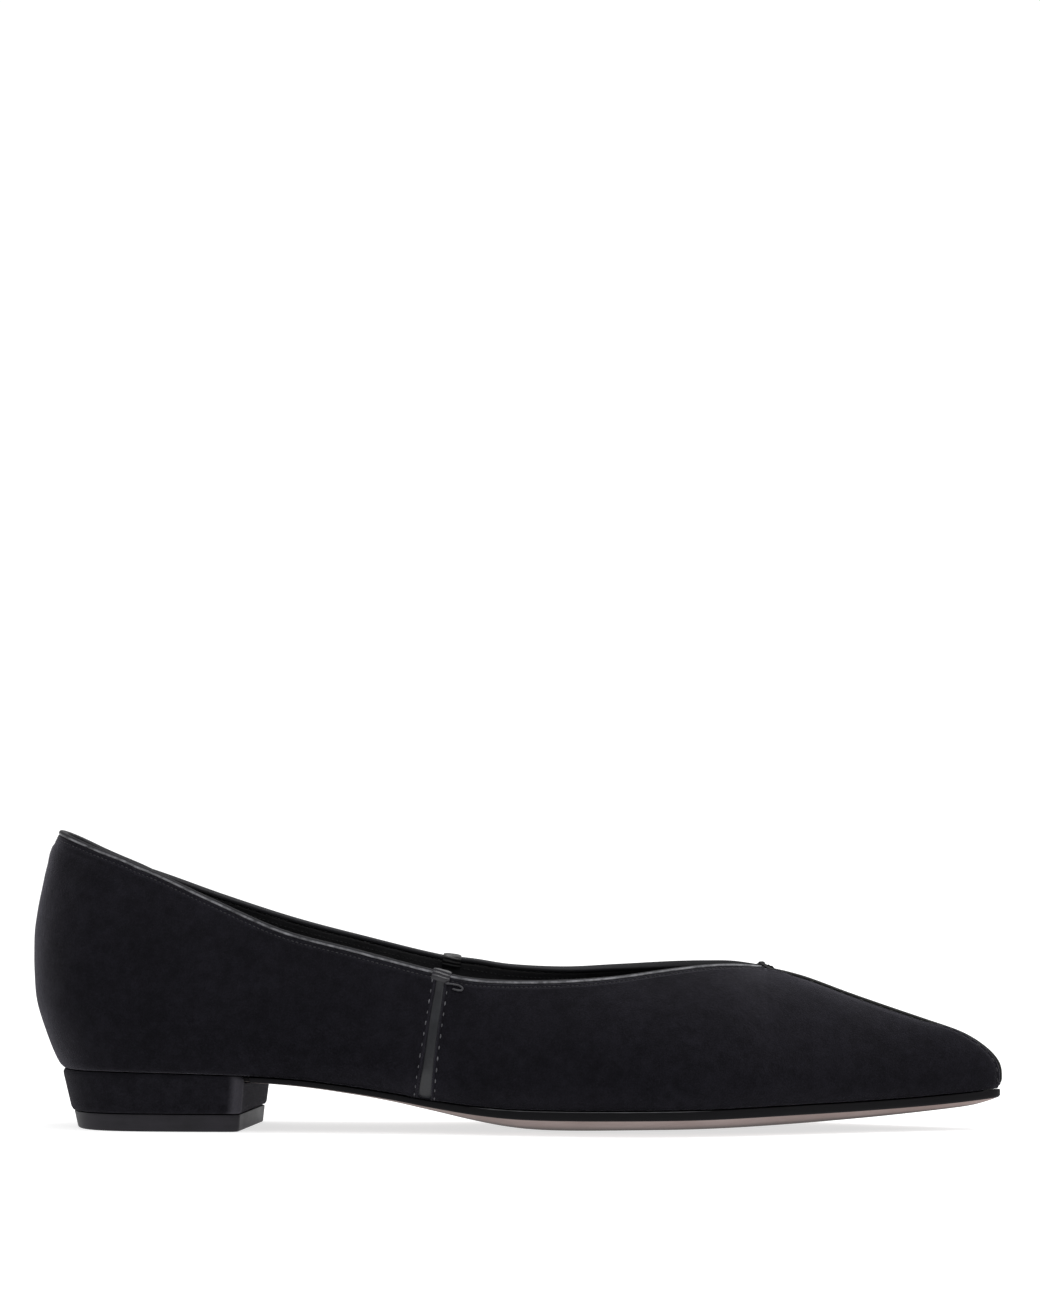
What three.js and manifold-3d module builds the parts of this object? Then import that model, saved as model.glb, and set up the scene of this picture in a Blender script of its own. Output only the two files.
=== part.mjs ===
// Pointed toe suede pump for the right foot, empty, standing on its low block heel and the ball of its sole.
// Millimetres. X runs from the heel to the toe, Y towards the inner side of the foot, Z up from the floor.
// While it is built, the back of the heel is at x = 0 and the line from heel to toe tip is y = 0.
// At the end the shoe is moved so that the origin is under the middle of its box.
import * as THREE from "three";
import { mergeVertices } from "three/addons/utils/BufferGeometryUtils.js";
import Module from "manifold-3d";

// Driving dimensions of the last: length over all, width over the ball, and the heights that shape it.
const LENGTH = 265;
const BALL_WIDTH = 76.4;
const BACK_HEIGHT = 80;
const THROAT_HEIGHT = 44;
const TOE_HEIGHT = 21.8;
const SEAT_HEIGHT = 16.3;
const TOE_SPRING = 4.3;
const VAMP_LENGTH = 64.4;
const HEEL_RADIUS = 26;
const TOE_RADIUS = 2.2;
const THROAT_RADIUS = 3;

// Spine of the last: ribs turn about its back end round the heel, and lean forward over the toe.
const HEEL_CENTRE = 30;
const TOE_REGION = 45;
const TOE_PIVOT = 15;

// Leather, lining and fit
const WALL = 1.8;
const CLEARANCE = 0.3;
const TUCK_CURVE = 2.1;

// Binding along the topline
const BINDING_HEIGHT = 1.2;
const BINDING_LIP = 0.25;

// Insole and outsole
const INSOLE_THICKNESS = 2;
const SOLE_THICKNESS = 2.4;
const SOLE_CROWN = 4.3;
const SOLE_LEDGE = 0.9;
const FLAT_SPOT_DEPTH = 0.5;
const SEAT_INSET = 3;

// Block heel and its top piece
const BREAST_AT = 61.7;
const BREAST_TURN = THREE.MathUtils.degToRad(3.9);
const BREAST_RAKE = 0.09;
const BREAST_CORNER = 2;
const SOLE_STEP_GAP = 1;
const HEEL_BACK_TAPER = 0.24;
const HEEL_SIDE_TAPER = 0.15;
const TOP_PIECE_HEIGHT = 4.7;
const TOP_PIECE_INSET = 0.6;
const TOP_PIECE_BREAST_INSET = 0.15;

// Leather strips let into the suede down both sides and along the vamp, wrapped over the topline
const STRIP_AT = 113.7;
const STRIP_LEAN = 4.4;
const STRIP_FOOT = 1;
const STRIP_WIDTH = 2.9;
const STRIP_FOOT_WIDTH = 3.7;
const STRIP_THICKNESS = 0.7;
const VAMP_STRIP_WIDTH = 3;
const VAMP_STRIP_END = 0.5;
const WRAP_WIDTH = 5;
const THROAT_WRAP_WIDTH = 4;
const THROAT_WRAP_SLACK = 0.2;
const WRAP_THICKNESS = 0.6;
const WRAP_DEPTH = 1.6;

// Widest line of the upper in plan: stations as shares of LENGTH, half widths as shares of BALL_WIDTH.
const PLAN = [
  { at: 0.038, lateral: 0.270, medial: 0.270 },
  { at: 0.113, lateral: 0.351, medial: 0.348 },
  { at: 0.189, lateral: 0.359, medial: 0.343 },
  { at: 0.264, lateral: 0.359, medial: 0.319 },
  { at: 0.340, lateral: 0.364, medial: 0.298 },
  { at: 0.415, lateral: 0.387, medial: 0.298 },
  { at: 0.491, lateral: 0.435, medial: 0.343 },
  { at: 0.547, lateral: 0.474, medial: 0.400 },
  { at: 0.604, lateral: 0.500, medial: 0.455 },
  { at: 0.660, lateral: 0.497, medial: 0.490 },
  { at: 0.717, lateral: 0.455, medial: 0.484 },
  { at: 0.774, lateral: 0.376, medial: 0.424 },
  { at: 0.830, lateral: 0.284, medial: 0.332 },
  { at: 0.887, lateral: 0.199, medial: 0.232 },
  { at: 0.943, lateral: 0.120, medial: 0.135 },
];

// Cross sections: belly is how high the widest line lies between the feather line and the top, tuck how far
// the feather line lies inside it as a share of BALL_WIDTH, and curl the power of the curve above it.
const SECTIONS = [
  { at: 0.000, belly: 0.466, tuck: 0.104, curl: 1.95 },
  { at: 0.038, belly: 0.420, tuck: 0.075, curl: 1.90 },
  { at: 0.113, belly: 0.324, tuck: 0.045, curl: 1.55 },
  { at: 0.226, belly: 0.276, tuck: 0.042, curl: 1.60 },
  { at: 0.340, belly: 0.225, tuck: 0.050, curl: 1.80 },
  { at: 0.415, belly: 0.230, tuck: 0.055, curl: 1.90 },
  { at: 0.510, belly: 0.257, tuck: 0.050, curl: 1.95 },
  { at: 0.623, belly: 0.247, tuck: 0.045, curl: 1.85 },
  { at: 0.755, belly: 0.210, tuck: 0.045, curl: 1.65 },
  { at: 0.830, belly: 0.213, tuck: 0.039, curl: 1.70 },
  { at: 0.925, belly: 0.238, tuck: 0.029, curl: 2.00 },
  { at: 1.000, belly: 0.278, tuck: 0.016, curl: 3.00 },
];

// Topline from the back to the throat: stations as shares of the way there, reach from the spine as a share
// of BALL_WIDTH, rise as a share of the drop from the back of the heel to the throat.
const TOPLINE = [
  { at: 0.000, lateralReach: 0.304, medialReach: 0.304, lateralRise: 1.000, medialRise: 1.000 },
  { at: 0.050, lateralReach: 0.245, medialReach: 0.245, lateralRise: 0.893, medialRise: 0.862 },
  { at: 0.150, lateralReach: 0.223, medialReach: 0.223, lateralRise: 0.750, medialRise: 0.697 },
  { at: 0.249, lateralReach: 0.257, medialReach: 0.251, lateralRise: 0.508, medialRise: 0.497 },
  { at: 0.349, lateralReach: 0.280, medialReach: 0.264, lateralRise: 0.268, medialRise: 0.315 },
  { at: 0.449, lateralReach: 0.296, medialReach: 0.264, lateralRise: 0.122, medialRise: 0.169 },
  { at: 0.548, lateralReach: 0.313, medialReach: 0.267, lateralRise: -0.019, medialRise: 0.036 },
  { at: 0.598, lateralReach: 0.321, medialReach: 0.277, lateralRise: -0.080, medialRise: 0.000 },
  { at: 0.648, lateralReach: 0.331, medialReach: 0.293, lateralRise: -0.101, medialRise: -0.042 },
  { at: 0.723, lateralReach: 0.339, medialReach: 0.314, lateralRise: -0.097, medialRise: -0.058 },
  { at: 0.798, lateralReach: 0.321, medialReach: 0.314, lateralRise: -0.068, medialRise: -0.033 },
  { at: 0.872, lateralReach: 0.266, medialReach: 0.270, lateralRise: -0.014, medialRise: -0.002 },
  { at: 0.922, lateralReach: 0.196, medialReach: 0.201, lateralRise: 0.014, medialRise: 0.014 },
  { at: 0.957, lateralReach: 0.135, medialReach: 0.139, lateralRise: 0.018, medialRise: 0.018 },
  { at: 1.000, lateralReach: 0.000, medialReach: 0.000, lateralRise: 0.000, medialRise: 0.000 },
];

// Ridge of the vamp: stations as shares of VAMP_LENGTH, height as a share of the drop from throat to tip.
const RIDGE = [
  { at: 0.000, height: 1.000 },
  { at: 0.093, height: 0.943 },
  { at: 0.186, height: 0.866 },
  { at: 0.356, height: 0.684 },
  { at: 0.523, height: 0.516 },
  { at: 0.675, height: 0.367 },
  { at: 0.831, height: 0.212 },
  { at: 1.000, height: 0.000 },
];

// Feather line and sole: seat is a share of the climb from the ball to the heel seat, spring of TOE_SPRING,
// edge of SOLE_THICKNESS, and crown of the sole's own crown across its width.
const FOOTBED = [
  { at: 0.000, seat: 1.000, spring: 0.00, edge: 0.60, crown: 0.10 },
  { at: 0.106, seat: 0.990, spring: 0.00, edge: 0.60, crown: 0.12 },
  { at: 0.226, seat: 0.895, spring: 0.00, edge: 0.55, crown: 0.20 },
  { at: 0.283, seat: 0.800, spring: 0.00, edge: 0.57, crown: 0.30 },
  { at: 0.334, seat: 0.620, spring: 0.00, edge: 0.60, crown: 0.34 },
  { at: 0.375, seat: 0.450, spring: 0.00, edge: 0.65, crown: 0.40 },
  { at: 0.415, seat: 0.260, spring: 0.00, edge: 0.72, crown: 0.50 },
  { at: 0.457, seat: 0.105, spring: 0.00, edge: 0.84, crown: 0.69 },
  { at: 0.498, seat: 0.020, spring: 0.00, edge: 0.95, crown: 0.89 },
  { at: 0.540, seat: 0.000, spring: 0.00, edge: 1.00, crown: 1.00 },
  { at: 0.619, seat: 0.000, spring: 0.03, edge: 1.00, crown: 1.00 },
  { at: 0.700, seat: 0.000, spring: 0.09, edge: 1.00, crown: 0.95 },
  { at: 0.781, seat: 0.000, spring: 0.25, edge: 0.98, crown: 0.84 },
  { at: 0.864, seat: 0.000, spring: 0.41, edge: 0.92, crown: 0.62 },
  { at: 0.943, seat: 0.000, spring: 0.68, edge: 0.86, crown: 0.36 },
  { at: 1.000, seat: 0.000, spring: 1.00, edge: 0.82, crown: 0.15 },
];

// Places worked out from the driving dimensions
const THROAT_X = LENGTH - VAMP_LENGTH;
const TOE_REGION_X = LENGTH - TOE_REGION;
const TOE_LEAN = (TOE_REGION - TOE_PIVOT) / TOE_REGION;
const BALL_EDGE = SOLE_CROWN + SOLE_THICKNESS + CLEARANCE;
const BREAST_SKEW = (Math.tan(BREAST_TURN) * BALL_WIDTH) / 4;
const SOLE_STEPS = {
  lateral: BREAST_AT - BREAST_SKEW + CLEARANCE + SOLE_STEP_GAP,
  medial: BREAST_AT + BREAST_SKEW + CLEARANCE + SOLE_STEP_GAP,
};

// How finely the curved pieces are divided
const LOWER_ROWS = 4;
const UPPER_ROWS = 8;
const HEEL_RIBS = 8;
const SIDE_RIBS = 18;
const THROAT_RIBS = 8;
const TOE_RIBS = 12;
const SOLE_ROWS = 4;
const INSOLE_ROWS = 2;
const RING_SIDES = 8;
const SIDE_STRIP_STEPS = 9;
const VAMP_STRIP_STEPS = 12;
const HEEL_LEVELS = 3;
const HEEL_SIDE_STEPS = 14;
const CORNER_STEPS = 3;

// Short steps along the surfaces from which directions are read, how near two points count as one, and the
// shares of a rib's upper face between which it reaches its cut edge
const STEP_ALONG = 0.5;
const STEP_UP = 0.2;
const SAME_POINT = 1e-4;
const EDGE_SHARES = { edge: 1, below: 0.95 };

const QUARTER_TURN = Math.PI / 2;

const wasm = await Module();
wasm.setup();

// Smooth value of one column of a table at a station.
function read(rows, column, at) {
  const last = rows.length - 1;
  let index = 0;
  while (index < last - 1 && at > rows[index + 1].at) index += 1;
  const from = rows[index];
  const to = rows[index + 1];
  const slope = (row) => {
    const before = rows[Math.max(row - 1, 0)];
    const after = rows[Math.min(row + 1, last)];
    return (after[column] - before[column]) / (after.at - before.at);
  };
  const span = to.at - from.at;
  const t = THREE.MathUtils.clamp((at - from.at) / span, 0, 1);
  const s = 1 - t;
  const ends = from[column] * (1 + 2 * t) * s * s + to[column] * (1 + 2 * s) * t * t;
  return ends + span * (slope(index) * t * s * s - slope(index + 1) * s * t * t);
}

// The same plan with each half width squared over its distances from both ends, which makes the ends round.
const ROUND_PLAN = PLAN.map(({ at, lateral, medial }) => ({
  at,
  lateral: (lateral * BALL_WIDTH) ** 2 / (at * (1 - at) * LENGTH ** 2),
  medial: (medial * BALL_WIDTH) ** 2 / (at * (1 - at) * LENGTH ** 2),
}));
const heelEnd = (2 * HEEL_RADIUS) / LENGTH;
const toeEnd = (2 * TOE_RADIUS) / LENGTH;
ROUND_PLAN.unshift({ at: 0, lateral: heelEnd, medial: heelEnd });
ROUND_PLAN.push({ at: 1, lateral: toeEnd, medial: toeEnd });

function halfWidth(x, side) {
  return Math.sqrt(Math.max(x * (LENGTH - x) * read(ROUND_PLAN, side, x / LENGTH), 0));
}

// The topline's reach squared over the distance to the throat, which makes the throat round.
const ROUND_TOPLINE = TOPLINE.slice(0, -1).map(({ at, lateralReach, medialReach }) => ({
  at,
  lateral: (lateralReach * BALL_WIDTH) ** 2 / ((1 - at) * THROAT_X),
  medial: (medialReach * BALL_WIDTH) ** 2 / ((1 - at) * THROAT_X),
}));
ROUND_TOPLINE.push({ at: 1, lateral: 2 * THROAT_RADIUS, medial: 2 * THROAT_RADIUS });

function toplineReach(x, side) {
  if (x >= THROAT_X) return 0;
  return Math.sqrt((THROAT_X - x) * read(ROUND_TOPLINE, side, x / THROAT_X));
}

function toplineHeight(x, side) {
  return THROAT_HEIGHT + (BACK_HEIGHT - THROAT_HEIGHT) * read(TOPLINE, `${side}Rise`, x / THROAT_X);
}

function ridgeHeight(x) {
  return TOE_HEIGHT + (THROAT_HEIGHT - TOE_HEIGHT) * read(RIDGE, "height", (x - THROAT_X) / VAMP_LENGTH);
}

// Height of the feather line, where the upper meets the sole.
function featherHeight(x) {
  const climb = (SEAT_HEIGHT - BALL_EDGE) * read(FOOTBED, "seat", x / LENGTH);
  return BALL_EDGE + climb + TOE_SPRING * read(FOOTBED, "spring", x / LENGTH);
}

function soleEdge(x) {
  return SOLE_THICKNESS * read(FOOTBED, "edge", x / LENGTH);
}

// Height of the middle of the sole's underside. It passes below the floor under the ball, where the floor
// then cuts a flat spot.
function soleMiddle(x) {
  const crown = (SOLE_CROWN + FLAT_SPOT_DEPTH) * read(FOOTBED, "crown", x / LENGTH);
  return featherHeight(x) - CLEARANCE - soleEdge(x) - crown;
}

// A rib of the last stands on the plan at a station, in a vertical plane through its point of the spine.
function makeRib(x, side) {
  let spine = x;
  if (x < HEEL_CENTRE) spine = HEEL_CENTRE;
  if (x > TOE_REGION_X) spine = TOE_REGION_X + (x - TOE_REGION_X) * TOE_LEAN;
  const y = halfWidth(x, side) * (side === "lateral" ? -1 : 1);
  const reach = Math.hypot(x - spine, y);
  const feather = featherHeight(x);
  const open = spine < THROAT_X;
  const top = open ? toplineHeight(x, side) : ridgeHeight(x);
  const curl = read(SECTIONS, "curl", x / LENGTH);
  const topReach = open ? toplineReach(x, side) : 0;
  return {
    x,
    side,
    spine,
    along: (x - spine) / reach,
    across: y / reach,
    reach,
    feather,
    open,
    top,
    curl,
    turn: Math.acos((topReach / reach) ** (curl / 2)),
    tuck: BALL_WIDTH * read(SECTIONS, "tuck", x / LENGTH),
    belly: feather + (top - feather) * read(SECTIONS, "belly", x / LENGTH),
  };
}

// Point of a rib's own plane as a point in space: out from the spine, and up.
function place(rib, out, z) {
  return new THREE.Vector3(rib.spine + rib.along * out, rib.across * out, z);
}

// Outer face of a rib below its belly, for t from 0 at the feather line to 1 at the belly.
function below(rib, t) {
  const out = rib.reach - rib.tuck * (1 - t) ** TUCK_CURVE;
  return [out, rib.feather + (rib.belly - rib.feather) * t];
}

// Outer face of a rib above its belly, for t from 0 at the belly to 1 at the topline or ridge.
function above(rib, t) {
  const angle = rib.turn * t;
  const out = rib.reach * Math.max(Math.cos(angle), 0) ** (2 / rib.curl);
  const rise = Math.sin(angle) ** (2 / rib.curl);
  if (!rib.open) return [out, rib.belly + (ridgeHeight(rib.spine + rib.along * out) - rib.belly) * rise];
  return [out, rib.belly + ((rib.top - rib.belly) * rise) / Math.sin(rib.turn) ** (2 / rib.curl)];
}

// Outer face of a rib at a height, on the sides of the shoe.
function outAt(rib, z) {
  if (z < rib.belly) return below(rib, (z - rib.feather) / (rib.belly - rib.feather))[0];
  const full = (rib.top - rib.belly) / Math.sin(rib.turn) ** (2 / rib.curl);
  return rib.reach * (1 - ((z - rib.belly) / full) ** rib.curl) ** (1 / rib.curl);
}

// The rib's outer face as points of its plane, from the feather line up.
function outline(rib) {
  const points = [];
  for (let row = 0; row < LOWER_ROWS; row += 1) points.push(below(rib, row / LOWER_ROWS));
  for (let row = 0; row <= UPPER_ROWS; row += 1) points.push(above(rib, row / UPPER_ROWS));
  return points;
}

// The same line moved in by a depth, square to itself. Its foot stays level with the feather line.
function inset(rib, points, depth) {
  const last = points.length - 1;
  return points.map(([out, z], row) => {
    const before = points[Math.max(row - 1, 0)];
    const after = points[Math.min(row + 1, last)];
    const run = after[0] - before[0];
    const rise = after[1] - before[1];
    const length = Math.hypot(run, rise);
    if (row === 0) return [out - depth, z];
    if (row === last && !rib.open) return [0, z - depth];
    return [out - (depth * rise) / length, z + (depth * run) / length];
  });
}

// Stations of the ribs: round the heel, along the side, closer and closer to the throat, and round the toe.
function stations() {
  const list = [];
  for (let i = 0; i < HEEL_RIBS; i += 1) {
    list.push(HEEL_CENTRE * (1 - Math.cos(QUARTER_TURN * (i / HEEL_RIBS))));
  }
  const throatZone = THROAT_RADIUS * THROAT_RIBS;
  const sideEnd = THROAT_X - throatZone;
  for (let i = 0; i < SIDE_RIBS; i += 1) {
    list.push(HEEL_CENTRE + (sideEnd - HEEL_CENTRE) * (i / SIDE_RIBS));
  }
  for (let i = THROAT_RIBS; i >= 0; i -= 1) list.push(THROAT_X - throatZone * (i / THROAT_RIBS) ** 2);
  for (let i = 1; i <= TOE_RIBS; i += 1) {
    list.push(THROAT_X + VAMP_LENGTH * Math.sin(QUARTER_TURN * (i / TOE_RIBS)));
  }
  list[list.length - 1] = LENGTH;
  return list;
}

// All the way round: from the back along the lateral side to the tip, and home along the medial side.
function ringOfRibs(list) {
  const lateral = list.map((x) => makeRib(x, "lateral"));
  const medial = list.slice(1, -1).map((x) => makeRib(x, "medial"));
  return [...lateral, ...medial.reverse()];
}

// Solid from closed loops of points, each joined to the next. The last loop joins the first, or both ends
// get a face. Quads that skip names lie inside the solid and are left out.
function loft(loops, { closed = false, skip = () => false } = {}) {
  const count = loops[0].length;
  const points = loops.flat();
  const faces = [];
  const steps = closed ? loops.length : loops.length - 1;
  for (let i = 0; i < steps; i += 1) {
    const next = (i + 1) % loops.length;
    for (let k = 0; k < count; k += 1) {
      if (skip(i, k)) continue;
      const turn = (k + 1) % count;
      const [a, b] = [i * count + k, i * count + turn];
      const [c, d] = [next * count + turn, next * count + k];
      faces.push([a, b, c], [a, c, d]);
    }
  }
  if (!closed) {
    for (const loop of [0, loops.length - 1]) {
      const middle = new THREE.Vector3();
      for (const point of loops[loop]) middle.addScaledVector(point, 1 / count);
      points.push(middle);
      for (let k = 0; k < count; k += 1) {
        const [a, b] = [loop * count + k, loop * count + ((k + 1) % count)];
        faces.push(loop === 0 ? [points.length - 1, b, a] : [points.length - 1, a, b]);
      }
    }
  }
  return toSolid(points, faces);
}

// Closed surface as a solid, with its equal points merged and its faces pointing out.
function toSolid(points, faces) {
  const geometry = new THREE.BufferGeometry();
  const numbers = points.flatMap((point) => point.toArray());
  geometry.setAttribute("position", new THREE.Float32BufferAttribute(numbers, 3));
  geometry.setIndex(faces.flat());
  return solidOf(geometry);
}

function solidOf(geometry) {
  geometry.deleteAttribute("normal");
  geometry.deleteAttribute("uv");
  const merged = mergeVertices(geometry, SAME_POINT);
  const position = merged.getAttribute("position");
  const corners = [0, 1, 2].map(() => new THREE.Vector3());
  const faces = [];
  let volume = 0;
  for (let i = 0; i < merged.index.count; i += 3) {
    const face = [0, 1, 2].map((k) => merged.index.getX(i + k));
    if (new Set(face).size < 3) continue;
    face.forEach((vertex, k) => corners[k].fromBufferAttribute(position, vertex));
    volume += corners[0].dot(corners[1].clone().cross(corners[2]));
    faces.push(face);
  }
  const triVerts = new Uint32Array((volume < 0 ? faces.map(([a, b, c]) => [a, c, b]) : faces).flat());
  const vertProperties = new Float32Array(position.array);
  return new wasm.Manifold(new wasm.Mesh({ numProp: 3, vertProperties, triVerts }));
}

// Named mesh of a solid, in its material.
function piece(name, solid, material) {
  const { numProp, vertProperties, triVerts } = solid.getMesh();
  const positions = [];
  for (let i = 0; i < vertProperties.length; i += numProp) positions.push(...vertProperties.slice(i, i + 3));
  const geometry = new THREE.BufferGeometry();
  geometry.setAttribute("position", new THREE.Float32BufferAttribute(positions, 3));
  geometry.setIndex(Array.from(triVerts));
  geometry.computeVertexNormals();
  const mesh = new THREE.Mesh(geometry, material);
  mesh.name = name;
  return mesh;
}

// Upper: one hollow wall round the foot, open along the topline and underneath.
function makeUpper() {
  const ribs = ringOfRibs(stations());
  const loops = ribs.map((rib) => {
    const outer = outline(rib);
    const inner = inset(rib, outer, WALL);
    return [...outer, ...inner.reverse()].map(([out, z]) => place(rib, out, z));
  });
  const rim = LOWER_ROWS + UPPER_ROWS;
  const ahead = (rib) => rib.spine > THROAT_X;
  const skip = (i, k) => k === rim && (ahead(ribs[i]) || ahead(ribs[(i + 1) % ribs.length]));
  return loft(loops, { closed: true, skip });
}

// Frames along the cut edge of the upper: a point, the way along the edge, the way out of the leather, and
// the way out of the shoe.
function edgeFrames(list) {
  const open = list.filter((x) => x <= THROAT_X);
  const lateral = open.map((x) => makeRib(x, "lateral"));
  const medial = open.slice(1, -1).map((x) => makeRib(x, "medial"));
  const ribs = [...lateral, ...medial.reverse()];
  const points = ribs.map((rib) => place(rib, ...above(rib, EDGE_SHARES.edge)));
  return ribs.map((rib, i) => {
    const next = points[(i + 1) % ribs.length];
    const along = next.clone().sub(points[(i + ribs.length - 1) % ribs.length]).normalize();
    const leaving = rib.x < THROAT_X
      ? points[i].clone().sub(place(rib, ...above(rib, EDGE_SHARES.below)))
      : new THREE.Vector3(-1, 0, ridgeHeight(THROAT_X) - ridgeHeight(THROAT_X + 1));
    const edge = leaving.addScaledVector(along, -leaving.dot(along)).normalize();
    const out = along.clone().cross(edge).normalize();
    return { x: rib.x, side: rib.side, point: points[i], along, edge, out };
  });
}

// Point of a frame's own plane: out of the shoe from the outer face, and out of the leather from its edge.
function onFrame(frame, out, edge) {
  return frame.point.clone().addScaledVector(frame.out, out).addScaledVector(frame.edge, edge);
}

// Topline binding: a narrow rounded bead along the whole cut edge.
function makeBinding(frames) {
  const loops = frames.map((frame) => {
    const loop = [];
    for (let k = 0; k < RING_SIDES; k += 1) {
      const angle = (2 * Math.PI * (k + 0.5)) / RING_SIDES;
      const round = 1 / Math.sqrt(Math.max(Math.abs(Math.cos(angle)), Math.abs(Math.sin(angle))));
      const out = (WALL / 2 + BINDING_LIP) * Math.cos(angle) * round - WALL / 2;
      const edge = CLEARANCE + (BINDING_HEIGHT / 2) * (1 + Math.sin(angle) * round);
      loop.push(onFrame(frame, out, edge));
    }
    return loop;
  });
  return loft(loops, { closed: true });
}

// Ribbon along a path on the suede: each step gives a point, the way across, the way out and a width.
function ribbon(path, floor, roof, margin) {
  const loops = path.map(({ point, across, out, width }) => {
    const half = width / 2 + margin;
    return [[-half, floor], [half, floor], [half, roof], [-half, roof]]
      .map(([a, n]) => point.clone().addScaledVector(across, a).addScaledVector(out, n));
  });
  return loft(loops);
}

// Path of a side strip, from its foot above the sole up under its wrap. It leans forward as it rises.
// The groove's path has room past both ends.
function sideStripPath(side, room) {
  const path = [];
  const foot = featherHeight(STRIP_AT) + STRIP_FOOT - room;
  const top = toplineHeight(STRIP_AT, side) - (room > 0 ? 0 : WRAP_DEPTH / 2);
  const surface = (x, z) => {
    const rib = makeRib(x, side);
    return place(rib, outAt(rib, z), z);
  };
  for (let i = 0; i <= SIDE_STRIP_STEPS; i += 1) {
    const t = i / SIDE_STRIP_STEPS;
    const z = foot + (top - foot) * t;
    const x = STRIP_AT - STRIP_LEAN * (1 - t);
    const across = surface(x + STEP_ALONG, z).sub(surface(x - STEP_ALONG, z)).normalize();
    const up = surface(x, z + STEP_UP).sub(surface(x, z - STEP_UP));
    const out = across.clone().cross(up).normalize();
    if (out.y > 0 !== (side === "medial")) out.negate();
    const width = STRIP_FOOT_WIDTH + (STRIP_WIDTH - STRIP_FOOT_WIDTH) * t;
    path.push({ point: surface(x, z), across, out, width });
  }
  return path;
}

// Path of the vamp strip, from its wrap at the throat along the ridge, over the nose and down to the sole.
function vampStripPath(room) {
  const points = [];
  const tip = makeRib(LENGTH, "lateral");
  const start = THROAT_X + (room > 0 ? 0 : WRAP_DEPTH / 2);
  for (let i = 0; i < VAMP_STRIP_STEPS; i += 1) {
    const x = start + (tip.spine - start) * (i / VAMP_STRIP_STEPS);
    points.push(new THREE.Vector3(x, 0, ridgeHeight(x)));
  }
  for (let row = UPPER_ROWS; row >= 0; row -= 1) points.push(place(tip, ...above(tip, row / UPPER_ROWS)));
  points.push(place(tip, ...below(tip, VAMP_STRIP_END)));
  points[points.length - 1].z -= room;
  return points.map((point, i) => {
    const next = points[Math.min(i + 1, points.length - 1)];
    const along = next.clone().sub(points[Math.max(i - 1, 0)]).normalize();
    const across = new THREE.Vector3(0, 1, 0);
    return { point, across, out: along.clone().cross(across).normalize(), width: VAMP_STRIP_WIDTH };
  });
}

// Flat outline in a frame's plane, extruded to a width along the edge.
function extrudeOnFrame(frame, corners, width) {
  const shape = new THREE.Shape(corners.map(([out, edge]) => new THREE.Vector2(out, edge)));
  const geometry = new THREE.ExtrudeGeometry(shape, { depth: width, bevelEnabled: false });
  geometry.translate(0, 0, -width / 2);
  const turn = new THREE.Matrix4().makeBasis(frame.out, frame.edge, frame.out.clone().cross(frame.edge));
  geometry.applyMatrix4(turn.setPosition(frame.point));
  return solidOf(geometry);
}

// Wrap of a strip over the topline: a hook over the binding and down inside, and a neck that joins it to the
// strip in its groove. Slack lifts it where the topline bends away under it.
function makeWrap(frame, width, neckWidth, slack) {
  const near = BINDING_LIP + CLEARANCE;
  const top = CLEARANCE + BINDING_HEIGHT + CLEARANCE + slack;
  const far = -WALL - near - slack / 2;
  const bevel = WRAP_THICKNESS / 2;
  const hook = extrudeOnFrame(frame, [
    [near, -WRAP_DEPTH],
    [near + bevel, -WRAP_DEPTH],
    [near + WRAP_THICKNESS, -WRAP_DEPTH + bevel],
    [near + WRAP_THICKNESS, top + bevel],
    [near, top + WRAP_THICKNESS],
    [far, top + WRAP_THICKNESS],
    [far - WRAP_THICKNESS, top + bevel],
    [far - WRAP_THICKNESS, -WRAP_DEPTH],
    [far, -WRAP_DEPTH],
    [far, top],
    [near, top],
  ], width);
  const neck = extrudeOnFrame(frame, [
    [-STRIP_THICKNESS, -WRAP_DEPTH],
    [near + bevel, -WRAP_DEPTH],
    [near + bevel, -WRAP_DEPTH / 2],
    [-STRIP_THICKNESS, -WRAP_DEPTH / 2],
  ], neckWidth);
  return hook.add(neck);
}

// Strip in its groove, and the room that the groove needs in the suede.
function makeStrip(pathWith, frame, { width, neckWidth, slack }) {
  const strip = ribbon(pathWith(0), -STRIP_THICKNESS, 0, 0);
  const groove = ribbon(pathWith(CLEARANCE), -STRIP_THICKNESS - CLEARANCE, STRIP_THICKNESS, CLEARANCE);
  return { solid: strip.add(makeWrap(frame, width, neckWidth, slack)), groove };
}

// Layer under the foot, whose faces follow the crown of the last across its width: how far it reaches from
// the spine, and the heights of its top and its underside at the edge and in the middle.
function makeLayer(list, rows, { reach, edgeTop, edgeFoot, middleTop, middleFoot }) {
  const ribs = ringOfRibs(list);
  const loops = ribs.map((rib) => {
    const loop = [];
    const end = reach(rib);
    const blend = (middle, edge, share) => Math.max(middle + (edge - middle) * share ** 2, 0);
    for (let row = 0; row <= rows; row += 1) {
      const share = row / rows;
      loop.push(place(rib, end * share, blend(middleTop(rib.spine), edgeTop(rib.x), share)));
    }
    for (let row = rows; row >= 0; row -= 1) {
      const share = row / rows;
      loop.push(place(rib, end * share, blend(middleFoot(rib.spine), edgeFoot(rib.x), share)));
    }
    return loop;
  });
  return loft(loops, { closed: true, skip: (i, k) => k === 2 * rows + 1 });
}

const featherReach = (rib) => rib.reach - rib.tuck;
const soleTop = (x) => featherHeight(x) - CLEARANCE;
const soleMiddleTop = (x) => soleMiddle(x) + soleEdge(x);
const soleReach = (rib) => featherReach(rib) + (rib.x < SOLE_STEPS[rib.side] ? -SEAT_INSET : SOLE_LEDGE);

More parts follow.
